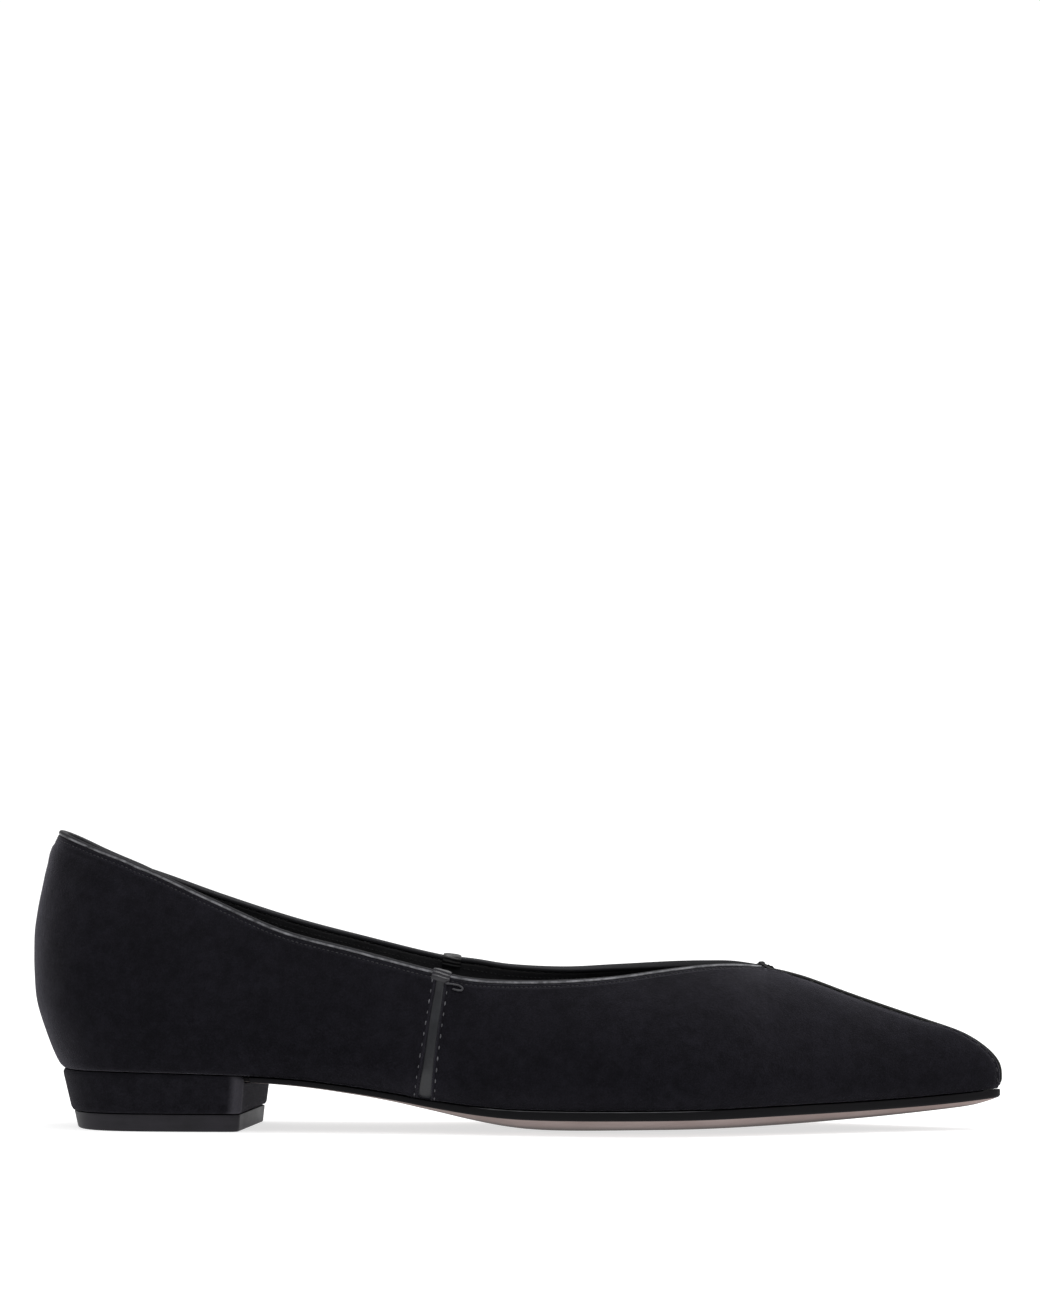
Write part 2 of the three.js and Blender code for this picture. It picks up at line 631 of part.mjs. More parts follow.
// Insole: a thin board inside the wall, on the sole.
function makeInsole(list) {
  return makeLayer(list, INSOLE_ROWS, {
    reach: (rib) => featherReach(rib) - WALL - CLEARANCE,
    edgeTop: (x) => featherHeight(x) + INSOLE_THICKNESS,
    edgeFoot: featherHeight,
    middleTop: (x) => soleMiddleTop(x) + CLEARANCE + INSOLE_THICKNESS,
    middleFoot: (x) => soleMiddleTop(x) + CLEARANCE,
  });
}

// Outsole: past the upper's edge by a ledge from the breast of the heel to the toe, and narrower on the heel
// seat, where the heel's rim hides it. With room round it and headroom over it, it is the seat's recess.
function makeSole(list, room = 0, headroom = 0) {
  return makeLayer(list, SOLE_ROWS, {
    reach: (rib) => soleReach(rib) + room,
    edgeTop: (x) => soleTop(x) + headroom,
    edgeFoot: (x) => soleTop(x) - soleEdge(x) - room,
    middleTop: (x) => soleMiddleTop(x) + headroom,
    middleFoot: (x) => soleMiddle(x) - room,
  });
}

// D-shaped outline of the heel at a height: round the back between its breast corners. The insets bring in
// its sides and back, and its breast.
function heelLoop(z, inset, breastInset) {
  const drop = SEAT_HEIGHT - z;
  const breastAt = (y) => BREAST_AT + Math.tan(BREAST_TURN) * y - BREAST_RAKE * drop - breastInset;
  const sideAt = (x, side) => {
    const rib = makeRib(x, side);
    const taper = x < HEEL_CENTRE
      ? HEEL_SIDE_TAPER + (HEEL_BACK_TAPER - HEEL_SIDE_TAPER) * (rib.along ** 2)
      : HEEL_SIDE_TAPER;
    return place(rib, featherReach(rib) - taper * drop - inset, z);
  };
  const half = (side) => {
    const points = [];
    const sign = side === "lateral" ? -1 : 1;
    const width = Math.abs(sideAt(BREAST_AT - BREAST_CORNER, side).y);
    const front = breastAt(sign * width);
    for (let i = 0; i < HEEL_SIDE_STEPS; i += 1) {
      const x = (front - BREAST_CORNER) * (1 - Math.cos(QUARTER_TURN * (i / HEEL_SIDE_STEPS)));
      points.push(sideAt(x, side));
    }
    for (let i = 0; i <= CORNER_STEPS; i += 1) {
      const angle = QUARTER_TURN * (i / CORNER_STEPS);
      const x = front - BREAST_CORNER * (1 - Math.sin(angle));
      const y = sign * (width - BREAST_CORNER * (1 - Math.cos(angle)));
      points.push(new THREE.Vector3(x, y, z));
    }
    return points;
  };
  const lateral = half("lateral");
  const medial = half("medial").slice(1);
  return [...lateral, ...medial.reverse()];
}

// Heel block: a stacked block covered in the upper's suede, with a recess in its top for the sole's seat.
function makeHeelBlock(recess) {
  const foot = TOP_PIECE_HEIGHT + CLEARANCE;
  const loops = [];
  for (let i = 0; i <= HEEL_LEVELS; i += 1) {
    const share = i / HEEL_LEVELS;
    const loop = heelLoop(foot + (SEAT_HEIGHT - CLEARANCE - foot) * share, 0, 0);
    for (const point of loop) {
      const roof = featherHeight(Math.max(point.x, 0)) - CLEARANCE;
      point.z = foot + (roof - foot) * share;
    }
    loops.push(loop);
  }
  return loft(loops).subtract(recess);
}

// Top piece: the rubber lift that the heel stands on.
function makeTopPiece() {
  const levels = [0, TOP_PIECE_HEIGHT];
  return loft(levels.map((z) => heelLoop(z, TOP_PIECE_INSET, TOP_PIECE_BREAST_INSET)));
}

const suede = new THREE.MeshStandardMaterial({ color: 0x19181c, roughness: 0.95, metalness: 0 });
const stripLeather = new THREE.MeshStandardMaterial({ color: 0x3c3e42, roughness: 0.45, metalness: 0 });
const bindingLeather = new THREE.MeshStandardMaterial({ color: 0x55565a, roughness: 0.4, metalness: 0 });
const liningLeather = new THREE.MeshStandardMaterial({ color: 0x111113, roughness: 0.6, metalness: 0 });
const soleLeather = new THREE.MeshStandardMaterial({ color: 0xc8afa5, roughness: 0.6, metalness: 0 });
const heelRubber = new THREE.MeshStandardMaterial({ color: 0x2b2a30, roughness: 0.5, metalness: 0 });

const ribStations = stations();
const stepStations = Object.values(SOLE_STEPS).flatMap((x) => [x - CLEARANCE, x + CLEARANCE]);
const soleStations = [...ribStations, ...stepStations].sort((a, b) => a - b);
const frames = edgeFrames([...new Set([...ribStations, STRIP_AT])].sort((a, b) => a - b));
const frameAt = (x, side) => frames.find((frame) => frame.x === x && frame.side === side);

const sideWrap = { width: WRAP_WIDTH, neckWidth: STRIP_WIDTH - 2 * CLEARANCE, slack: 0 };
const throatWrap = {
  width: THROAT_WRAP_WIDTH,
  neckWidth: VAMP_STRIP_WIDTH - 2 * CLEARANCE,
  slack: THROAT_WRAP_SLACK * (THROAT_WRAP_WIDTH ** 2 / THROAT_RADIUS),
};
const sideStrip = (side) => {
  const pathWith = (room) => sideStripPath(side, room);
  return makeStrip(pathWith, frameAt(STRIP_AT, side), sideWrap);
};
const lateralStrip = sideStrip("lateral");
const medialStrip = sideStrip("medial");
const vampStrip = makeStrip(vampStripPath, frameAt(THROAT_X, "lateral"), throatWrap);

const upper = makeUpper()
  .subtract(lateralStrip.groove)
  .subtract(medialStrip.groove)
  .subtract(vampStrip.groove);

const shoe = new THREE.Group();
shoe.add(
  piece("upper", upper, suede),
  piece("strip_lateral", lateralStrip.solid, stripLeather),
  piece("strip_medial", medialStrip.solid, stripLeather),
  piece("strip_vamp", vampStrip.solid, stripLeather),
  piece("topline_binding", makeBinding(frames), bindingLeather),
  piece("insole", makeInsole(ribStations), liningLeather),
  piece("outsole", makeSole(soleStations), soleLeather),
  piece("heel_block", makeHeelBlock(makeSole(soleStations, CLEARANCE, SOLE_THICKNESS)), suede),
  piece("top_piece", makeTopPiece(), heelRubber),
);
const box = new THREE.Box3().setFromObject(shoe);
const middle = box.getCenter(new THREE.Vector3());
shoe.position.set(-middle.x, -middle.y, -box.min.z);

const pump = new THREE.Group();
pump.add(shoe);

export default pump;
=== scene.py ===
"""Pointed toe suede pump for the right foot: suede, leather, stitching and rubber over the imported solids."""
import math
from types import SimpleNamespace

import bmesh
import bpy
import numpy as np
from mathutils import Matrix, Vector
from mathutils.bvhtree import BVHTree


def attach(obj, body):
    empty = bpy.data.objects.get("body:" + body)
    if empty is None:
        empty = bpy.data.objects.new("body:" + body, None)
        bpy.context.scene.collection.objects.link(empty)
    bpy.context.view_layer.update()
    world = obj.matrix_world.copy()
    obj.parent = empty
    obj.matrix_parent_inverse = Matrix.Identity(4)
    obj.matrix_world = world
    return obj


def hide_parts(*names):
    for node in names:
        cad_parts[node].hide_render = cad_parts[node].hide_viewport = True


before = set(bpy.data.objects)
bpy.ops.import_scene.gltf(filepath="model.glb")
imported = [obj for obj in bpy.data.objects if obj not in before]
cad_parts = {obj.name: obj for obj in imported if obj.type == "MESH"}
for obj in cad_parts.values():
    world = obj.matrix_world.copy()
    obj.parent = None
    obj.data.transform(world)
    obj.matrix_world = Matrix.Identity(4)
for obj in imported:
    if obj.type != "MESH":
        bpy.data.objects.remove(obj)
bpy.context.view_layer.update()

# Upper: one layer of black suede drawn over the last, seamed at the back and turned under at the sole.
# It is folded under along both side strips and the vamp strip, which gives each strip a soft raised border.
# Lengths are in millimetres from the back of the heel, along the line from heel to toe tip.
MM = 0.001
LENGTH = 265
BALL_WIDTH = 76.4
BACK_HEIGHT = 80
THROAT_HEIGHT = 44
TOE_HEIGHT = 21.8
SEAT_HEIGHT = 16.3
TOE_SPRING = 4.3
VAMP_LENGTH = 64.4
HEEL_RADIUS = 26
TOE_RADIUS = 2.2
THROAT_RADIUS = 3
HEEL_CENTRE = 30
TOE_REGION = 45
TOE_PIVOT = 15
WALL = 1.8
CLEARANCE = 0.3
TUCK_CURVE = 2.1
SOLE_THICKNESS = 2.4
SOLE_CROWN = 4.3
THROAT_X = LENGTH - VAMP_LENGTH
TOE_REGION_X = LENGTH - TOE_REGION
TOE_LEAN = (TOE_REGION - TOE_PIVOT) / TOE_REGION
BALL_EDGE = SOLE_CROWN + SOLE_THICKNESS + CLEARANCE
QUARTER_TURN = math.pi / 2
LATERAL, MEDIAL = -1, 1
toe_tip = max((v.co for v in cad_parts["upper"].data.vertices), key=lambda place: place.x)
FRAME_SHIFT = np.array([toe_tip.x / MM - LENGTH, toe_tip.y / MM, 0])


def smooth_curve(stations, values):
    """Smooth curve through the values of a table."""
    at, value = np.array(stations, float), np.array(values, float)
    before = np.maximum(np.arange(len(at)) - 1, 0)
    after = np.minimum(np.arange(len(at)) + 1, len(at) - 1)
    slope = (value[after] - value[before]) / (at[after] - at[before])

    def read(x):
        i = np.clip(np.searchsorted(at, x) - 1, 0, len(at) - 2)
        span = at[i + 1] - at[i]
        t = np.clip((x - at[i]) / span, 0, 1)
        s = 1 - t
        ends = value[i] * (1 + 2 * t) * s * s + value[i + 1] * (1 + 2 * s) * t * t
        return ends + span * (slope[i] * t * s * s - slope[i + 1] * s * t * t)

    return read


# Widest line in plan, as shares of the length and of the ball's width
PLAN_AT = [
    0.038, 0.113, 0.189, 0.264, 0.340, 0.415, 0.491, 0.547, 0.604, 0.660, 0.717, 0.774, 0.830, 0.887, 0.943,
]
PLAN = {
    LATERAL: [
        0.270, 0.351, 0.359, 0.359, 0.364, 0.387, 0.435, 0.474,
        0.500, 0.497, 0.455, 0.376, 0.284, 0.199, 0.120,
    ],
    MEDIAL: [
        0.270, 0.348, 0.343, 0.319, 0.298, 0.298, 0.343, 0.400,
        0.455, 0.490, 0.484, 0.424, 0.332, 0.232, 0.135,
    ],
}
half_width_square = {}
for side, shares in PLAN.items():
    middle = [(s * BALL_WIDTH) ** 2 / (at * (1 - at) * LENGTH ** 2) for at, s in zip(PLAN_AT, shares)]
    ends = [2 * HEEL_RADIUS / LENGTH, *middle, 2 * TOE_RADIUS / LENGTH]
    half_width_square[side] = smooth_curve([0, *PLAN_AT, 1], ends)

# Cross sections: height of the widest line, tuck under it, and the power of the curve above it
SECTION_AT = [0.000, 0.038, 0.113, 0.226, 0.340, 0.415, 0.510, 0.623, 0.755, 0.830, 0.925, 1.000]
BELLY = [0.466, 0.420, 0.324, 0.276, 0.225, 0.230, 0.257, 0.247, 0.210, 0.213, 0.238, 0.278]
TUCK = [0.104, 0.075, 0.045, 0.042, 0.050, 0.055, 0.050, 0.045, 0.045, 0.039, 0.029, 0.016]
CURL = [1.95, 1.90, 1.55, 1.60, 1.80, 1.90, 1.95, 1.85, 1.65, 1.70, 2.00, 3.00]
belly_share, tuck_share, curl_power = (smooth_curve(SECTION_AT, values) for values in (BELLY, TUCK, CURL))

# Topline from the back to the throat: reach from the spine, and rise from the throat's height
TOPLINE_AT = [0, 0.050, 0.150, 0.249, 0.349, 0.449, 0.548, 0.598, 0.648, 0.723, 0.798, 0.872, 0.922, 0.957, 1]
TOPLINE_REACH = {
    LATERAL: [
        0.304, 0.245, 0.223, 0.257, 0.280, 0.296, 0.313, 0.321, 0.331, 0.339, 0.321, 0.266, 0.196, 0.135,
    ],
    MEDIAL: [
        0.304, 0.245, 0.223, 0.251, 0.264, 0.264, 0.267, 0.277, 0.293, 0.314, 0.314, 0.270, 0.201, 0.139,
    ],
}
TOPLINE_RISE = {
    LATERAL: [
        1, 0.893, 0.750, 0.508, 0.268, 0.122, -0.019, -0.080, -0.101, -0.097, -0.068, -0.014, 0.014, 0.018, 0,
    ],
    MEDIAL: [
        1, 0.862, 0.697, 0.497, 0.315, 0.169, 0.036, 0.000, -0.042, -0.058, -0.033, -0.002, 0.014, 0.018, 0,
    ],
}
topline_reach_square, topline_rise = {}, {}
for side in (LATERAL, MEDIAL):
    reaches = zip(TOPLINE_AT, TOPLINE_REACH[side])
    squares = [(s * BALL_WIDTH) ** 2 / ((1 - at) * THROAT_X) for at, s in reaches]
    topline_reach_square[side] = smooth_curve(TOPLINE_AT, [*squares, 2 * THROAT_RADIUS])
    topline_rise[side] = smooth_curve(TOPLINE_AT, TOPLINE_RISE[side])
RIDGE_AT = [0, 0.093, 0.186, 0.356, 0.523, 0.675, 0.831, 1]
ridge_share = smooth_curve(RIDGE_AT, [1, 0.943, 0.866, 0.684, 0.516, 0.367, 0.212, 0])

# Feather line and sole: climb to the heel seat, toe spring, edge thickness and crown
FOOTBED_AT = [
    0, 0.106, 0.226, 0.283, 0.334, 0.375, 0.415, 0.457, 0.498, 0.540, 0.619, 0.700, 0.781, 0.864, 0.943, 1,
]
SEAT_CLIMB = [1, 0.99, 0.895, 0.8, 0.62, 0.45, 0.26, 0.105, 0.02, 0, 0, 0, 0, 0, 0, 0]
SPRING = [0, 0, 0, 0, 0, 0, 0, 0, 0, 0, 0.03, 0.09, 0.25, 0.41, 0.68, 1]
EDGE = [0.60, 0.60, 0.55, 0.57, 0.60, 0.65, 0.72, 0.84, 0.95, 1, 1, 1, 0.98, 0.92, 0.86, 0.82]
CROWN = [0.10, 0.12, 0.20, 0.30, 0.34, 0.40, 0.50, 0.69, 0.89, 1, 1, 0.95, 0.84, 0.62, 0.36, 0.15]
seat_share, spring_share = smooth_curve(FOOTBED_AT, SEAT_CLIMB), smooth_curve(FOOTBED_AT, SPRING)
edge_share, crown_share = smooth_curve(FOOTBED_AT, EDGE), smooth_curve(FOOTBED_AT, CROWN)


def half_width(x, side):
    return np.sqrt(np.maximum(x * (LENGTH - x) * half_width_square[side](x / LENGTH), 0))


def ridge_height(x):
    return TOE_HEIGHT + (THROAT_HEIGHT - TOE_HEIGHT) * ridge_share((x - THROAT_X) / VAMP_LENGTH)


def feather_height(x):
    climb = (SEAT_HEIGHT - BALL_EDGE) * seat_share(x / LENGTH)
    return BALL_EDGE + climb + TOE_SPRING * spring_share(x / LENGTH)


def rib_at(x, side):
    """Ribs of the last at the stations x: where each stands on the spine, and what shapes its outer face."""
    x = np.clip(np.asarray(x, float), 0, LENGTH)
    toe_spine = TOE_REGION_X + (x - TOE_REGION_X) * TOE_LEAN
    spine = np.where(x > TOE_REGION_X, toe_spine, np.maximum(x, HEEL_CENTRE))
    y = side * half_width(x, side)
    reach = np.hypot(x - spine, y)
    is_open = spine < THROAT_X
    at = np.clip(x / THROAT_X, 0, 1)
    edge_height = THROAT_HEIGHT + (BACK_HEIGHT - THROAT_HEIGHT) * topline_rise[side](at)
    top = np.where(is_open, edge_height, ridge_height(x))
    edge_reach = np.sqrt(np.maximum(THROAT_X - x, 0) * topline_reach_square[side](at)) * is_open
    curl = curl_power(x / LENGTH)
    feather = feather_height(x)
    return SimpleNamespace(
        x=x, side=side, spine=spine, along=(x - spine) / reach, across=y / reach, reach=reach,
        feather=feather, is_open=is_open, top=top, curl=curl,
        turn=np.arccos(np.minimum(edge_reach / reach, 1) ** (curl / 2)),
        tuck=BALL_WIDTH * tuck_share(x / LENGTH), belly=feather + (top - feather) * belly_share(x / LENGTH),
    )


def place(rib, out, z):
    """Points of the ribs' own planes as points in space."""
    return np.stack(np.broadcast_arrays(rib.spine + rib.along * out, rib.across * out, z), axis=-1)


def profile(rib, v):
    """Outer face of the ribs, for v from 0 at the feather line over 1 at the belly to 2 at the top."""
    low, high = np.clip(v, 0, 1), np.clip(v - 1, 0, 1)
    angle = rib.turn * high
    out = np.where(v < 1, rib.reach - rib.tuck * (1 - low) ** TUCK_CURVE,
                   rib.reach * np.maximum(np.cos(angle), 0) ** (2 / rib.curl))
    rise = np.sin(angle) ** (2 / rib.curl)
    to_edge = rib.belly + (rib.top - rib.belly) * rise / np.sin(rib.turn) ** (2 / rib.curl)
    to_ridge = rib.belly + (ridge_height(rib.spine + rib.along * out) - rib.belly) * rise
    upper_z = np.where(rib.is_open, to_edge, to_ridge)
    return out, np.where(v < 1, rib.feather + (rib.belly - rib.feather) * low, upper_z)


def rows_of(rib, near_top, rest):
    """Values of v for rows at the given distances below the top, then evenly down to the feather line."""
    v = np.linspace(0, 2, 321)[:, None]
    out, z = profile(rib, v)
    steps = np.hypot(np.diff(out, axis=0), np.diff(z, axis=0))
    below_top = np.vstack([np.cumsum(steps[::-1], axis=0)[::-1], np.zeros(steps.shape[1])])
    last = near_top[-1]
    shares = np.arange(1, rest + 1) / rest
    found = []
    for column in range(below_top.shape[1]):
        distance = below_top[::-1, column]
        wanted = np.concatenate([near_top, last + (distance[-1] - last) * shares])
        found.append(np.interp(wanted, distance, v[::-1, 0]))
    return np.array(found).T


def inset(rib, out, z, depth):
    """Outer faces moved in by a depth, square to themselves. Rows run from the top to the feather line."""
    run, rise = -np.gradient(out, axis=0), -np.gradient(z, axis=0)
    size = np.maximum(np.hypot(run, rise), 1e-9)
    inner_out = np.maximum(out - depth * rise / size, out * 0.3)
    inner_z = z + depth * run / size
    inner_out[-1], inner_z[-1] = out[-1] - depth, z[-1]
    closed = ~rib.is_open if rib.is_open.ndim == 1 else ~rib.is_open[0]
    inner_out[0] = np.where(closed, 0, inner_out[0])
    inner_z[0] = np.where(closed, z[0] - depth, inner_z[0])
    return inner_out, inner_z


def smooth_step(value, low, high):
    t = np.clip((value - low) / (high - low), 0, 1)
    return t * t * (3 - 2 * t)


def bell(value, middle, spread):
    return np.exp(-(((value - middle) / spread) ** 2))


STRIP_AT = 113.7
STRIP_LEAN = 4.4
STRIP_FOOT = 1
STRIP_WIDTH = 2.5
STRIP_FOOT_WIDTH = 3.7
VAMP_STRIP_WIDTH = 3
WRAP_DEPTH = 1.6
SIDE_PITCH = 2.8
VAMP_PITCH = 2.8
FOLD_REACH = 7
STRIP_ZONE = 6.6
LEAN_FADES_BY = 32
FAR_FROM_STRIP = 99.0
THROAT_ZONE = THROAT_RADIUS * 8
SIDE_PATH_POINTS = 90
RIDGE_POINTS = 100
NOSE_POINTS = 60


def side_path(side):
    """Middle line of a side strip on the suede, from its foot to the topline."""
    foot = feather_height(np.array(STRIP_AT)) + STRIP_FOOT
    top = rib_at(STRIP_AT, side).top
    t = np.linspace(0, 1, SIDE_PATH_POINTS)
    z = foot + (top - foot) * t
    x = STRIP_AT - STRIP_LEAN * (1 - t)

    def surface(x, z):
        rib = rib_at(x, side)
        v = np.linspace(0, 2, 401)[:, None]
        _, heights = profile(rib, v)
        found = np.array([np.interp(h, heights[:, i], v[:, 0]) for i, h in enumerate(z)])
        return place(rib, *profile(rib, found))

    points = surface(x, z)
    level = surface(x + 0.5, z) - surface(x - 0.5, z)
    width = STRIP_WIDTH + (STRIP_FOOT_WIDTH - STRIP_WIDTH) * (1 - t) ** 2.5
    return with_frames(points, level, width, side)


def vamp_path():
    """Middle line of the vamp strip, from the throat along the ridge, over the nose and down to the sole."""
    tip = rib_at(LENGTH, LATERAL)
    ridge_x = np.linspace(THROAT_X, tip.spine, RIDGE_POINTS)[:-1]
    ridge = np.stack([ridge_x, 0 * ridge_x, ridge_height(ridge_x)], axis=-1)
    nose = place(tip, *profile(tip, np.linspace(2, 0.5, NOSE_POINTS)))
    points = np.vstack([ridge, nose])
    level = np.tile([0.0, 1.0, 0.0], (len(points), 1))
    return with_frames(points, level, np.full(len(points), VAMP_STRIP_WIDTH), 0)


def unit(vectors):
    return vectors / np.linalg.norm(vectors, axis=-1, keepdims=True)


def with_frames(points, level, width, side):
    """A strip's path, with the way along it, across it and out of the suede at each of its points."""
    along = unit(np.gradient(points, axis=0))
    across = unit(level - along * (level * along).sum(-1, keepdims=True))
    out = np.cross(along, across)
    wrong = out[:, 1] * side < 0 if side else out[:, 0] + out[:, 2] < 0
    out[wrong] *= -1
    steps = np.linalg.norm(np.diff(points, axis=0), axis=-1)
    run = np.concatenate([[0], np.cumsum(steps)])
    return SimpleNamespace(points=points, along=along, across=across, out=out, width=width, run=run)


def strip_places(points, path):
    """Distance from a strip's side edge, and how far along the strip, for each point of the suede."""
    edge, run = np.full(len(points), FAR_FROM_STRIP), np.zeros(len(points))
    low, high = path.points.min(0) - FOLD_REACH, path.points.max(0) + FOLD_REACH
    near = np.where(((points > low) & (points < high)).all(-1))[0]
    gaps = np.linalg.norm(points[near, None] - path.points[None], axis=-1)
    i = gaps.argmin(-1)
    away = points[near] - path.points[i]
    beside = np.abs((away * path.across[i]).sum(-1)) - path.width[i] / 2
    ahead = (away * path.along[i]).sum(-1)
    past = np.where(i == 0, np.maximum(-ahead, 0), np.where(i == len(path.run) - 1, np.maximum(ahead, 0), 0))
    edge[near] = np.where(past > 0, np.hypot(np.maximum(beside, 0), past), beside)
    edge[near[gaps.min(-1) > FOLD_REACH]] = FAR_FROM_STRIP
    run[near] = path.run[i] + ahead
    return edge, run


STITCH_FROM_FOLD = 0.95
FOLD_AT = [-0.45, -0.12, 0.05, 0.22, 0.48, 0.72, 0.95, 1.2, 1.6, 2.3, 3.4]
FOLD_RISE = [-0.85, -0.30, 0.10, 0.27, 0.30, 0.20, 0.10, 0.16, 0.19, 0.10, 0]
VAMP_FOLD_RISE = [-0.62, -0.58, -0.50, -0.40, -0.36, -0.36, -0.38, -0.30, -0.22, -0.10, 0]
strip_paths = {"lateral": side_path(LATERAL), "medial": side_path(MEDIAL), "vamp": vamp_path()}
strip_paths["lateral"].pitch = strip_paths["medial"].pitch = SIDE_PITCH
strip_paths["vamp"].pitch = VAMP_PITCH


def even_stations(heel_steps, side_steps, throat_steps, toe_steps):
    """Stations from the back to the toe tip, drawing together at the throat and at both ends."""
    heel = HEEL_CENTRE * (1 - np.cos(QUARTER_TURN * np.arange(heel_steps) / heel_steps))
    side = np.linspace(HEEL_CENTRE, THROAT_X - THROAT_ZONE, side_steps)[:-1]
    throat = THROAT_X - THROAT_ZONE * (np.arange(throat_steps, -1, -1) / throat_steps) ** 2
    toe = THROAT_X + VAMP_LENGTH * np.sin(QUARTER_TURN * np.arange(1, toe_steps + 1) / toe_steps)
    toe[-1] = LENGTH
    return np.concatenate([heel, side, throat, toe])


FROM_SEAM = np.array([0.2, 0.4, 0.65, 0.95])
FROM_STRIP = np.array([
    0, 0.5, 1, 1.3, 1.45, 1.6, 1.75, 1.9, 2.05, 2.2, 2.4, 2.6, 2.8, 3.05, 3.3, 3.6, 4, 4.5, 5.1, 5.9,
])


def suede_stations():
    """Close stations all along the shoe, and closer still at the back seam and beside the side strips."""
    even = even_stations(heel_steps=36, side_steps=128, throat_steps=40, toe_steps=80)
    even = even[np.abs(even - STRIP_AT) > STRIP_ZONE]
    seam = FROM_SEAM ** 2 / (2 * HEEL_RADIUS)
    return np.unique(np.concatenate([seam, even, STRIP_AT + FROM_STRIP, STRIP_AT - FROM_STRIP]))


NEAR_TOP = np.array([0, 0.35, 0.7, 1, 1.25, 1.42, 1.55, 1.7, 1.9, 2.15, 2.4, 2.7, 3.05, 3.5, 4.1, 4.9])


def side_grid(x0, side, near_top, rest, lean):
    """Rows and columns of one side's outer face. Beside the side strip its columns lean as the strip does."""
    straight = rib_at(x0, side)
    v = rows_of(straight, near_top, rest)
    x = np.tile(x0, (len(v), 1))
    if lean:
        _, z = profile(straight, v)
        path = strip_paths["lateral" if side == LATERAL else "medial"]
        foot, top = path.points[0, 2], path.points[-1, 2]
        t = np.clip((z - foot) / (top - foot), -0.2, 1)
        x = x - STRIP_LEAN * (1 - t) * (1 - smooth_step(np.abs(x0 - STRIP_AT), STRIP_ZONE, LEAN_FADES_BY))
    rib = rib_at(x, side)
    out, z = profile(rib, v)
    return rib, out, z


def ring(lateral, medial):
    """Both sides as one ring of columns: to the toe tip on the lateral side, and home on the medial side."""
    return np.concatenate([lateral, medial[:, -2:0:-1]], axis=1)


def ring_numbers(count, x0, first):
    """Numbers of the ring's points. Ahead of the throat both sides share the points of the top row."""
    columns = 2 * len(x0) - 2
    numbers = first + np.arange(count * columns).reshape(count, columns)
    for i, x in enumerate(x0[1:-1], 1):
        if x >= THROAT_X:
            numbers[0, columns - i] = numbers[0, i]
    return numbers


def quads(numbers, closed=True):
    """Faces between neighbouring rows and columns."""
    beside = np.roll(numbers, -1, axis=1) if closed else numbers[:, 1:]
    here = numbers if closed else numbers[:, :-1]
    return np.stack([here[:-1], beside[:-1], beside[1:], here[1:]], axis=-1).reshape(-1, 4)


def point_normals(points, faces):
    normals = np.zeros_like(points)
    face = np.cross(points[faces[:, 2]] - points[faces[:, 0]], points[faces[:, 3]] - points[faces[:, 1]])
    for corner in range(4):
        np.add.at(normals, faces[:, corner], face)
    return normals / np.maximum(np.linalg.norm(normals, axis=-1, keepdims=True), 1e-12)


def shell_faces(outside, inside, xs_of_ring):
    """Faces of a wall between two skins, joined at the sole and, where the shoe is open, at the top."""
    is_ahead = (xs_of_ring >= THROAT_X) & (np.roll(xs_of_ring, -1) >= THROAT_X)
    foot, top = (quads(np.vstack([outside[row], inside[row]])) for row in (-1, 0))
    return np.vstack([quads(outside), quads(inside), foot, top[~is_ahead]])


def finished(mesh, work, material, sharp):
    """An object of a working mesh, shaded smooth, with its faces turned out."""
    bmesh.ops.recalc_face_normals(work, faces=work.faces)
    work.to_mesh(mesh)
    work.free()
    mesh.shade_smooth()
    if sharp is not None:
        mesh.set_sharp_from_angle(angle=math.radians(sharp))
    mesh.materials.append(material)
    piece = bpy.data.objects.new(mesh.name, mesh)
    bpy.context.scene.collection.objects.link(piece)
    return piece


def add_piece(name, points, faces, material, sharp=None, **attributes):
    """A closed mesh with its faces turned out, from points in millimetres, at its place in the frame."""
    faces = [tuple(dict.fromkeys(int(n) for n in face)) for face in faces]
    faces = [face for face in faces if len(face) > 2]
    used = sorted({n for face in faces for n in face})
    number = {n: i for i, n in enumerate(used)}
    mesh = bpy.data.meshes.new(name)
    placed = (np.asarray(points)[used] + FRAME_SHIFT) * MM
    mesh.from_pydata(placed.tolist(), [], [tuple(number[n] for n in face) for face in faces])
    work = bmesh.new()
    work.from_mesh(mesh)
    piece = finished(mesh, work, material, sharp)
    for key, values in attributes.items():
        layer = mesh.attributes.new(key, "FLOAT", "POINT")
        layer.data.foreach_set("value", np.asarray(values, np.float32)[used])
    return piece


class Socket:
    """An output of a shader node, which sums and products take as they would a number."""

    def __init__(self, shader, output):
        self.shader, self.output = shader, output

    def _math(self, operation, first, second=0.0):
        return self.shader.node("Math", {0: first, 1: second}, operation=operation)

    def __add__(self, other):
        return self._math("ADD", self, other)

    def __sub__(self, other):
        return self._math("SUBTRACT", self, other)

    def __rsub__(self, other):
        return self._math("SUBTRACT", other, self)

    def __mul__(self, other):
        return self._math("MULTIPLY", self, other)

    __radd__, __rmul__ = __add__, __mul__

    def between(self, low, high):
        """0 below low, 1 above high and smooth between them."""
        inputs = {"Value": self, "From Min": low, "From Max": high}
        return self.shader.node("MapRange", inputs, interpolation_type="SMOOTHSTEP")


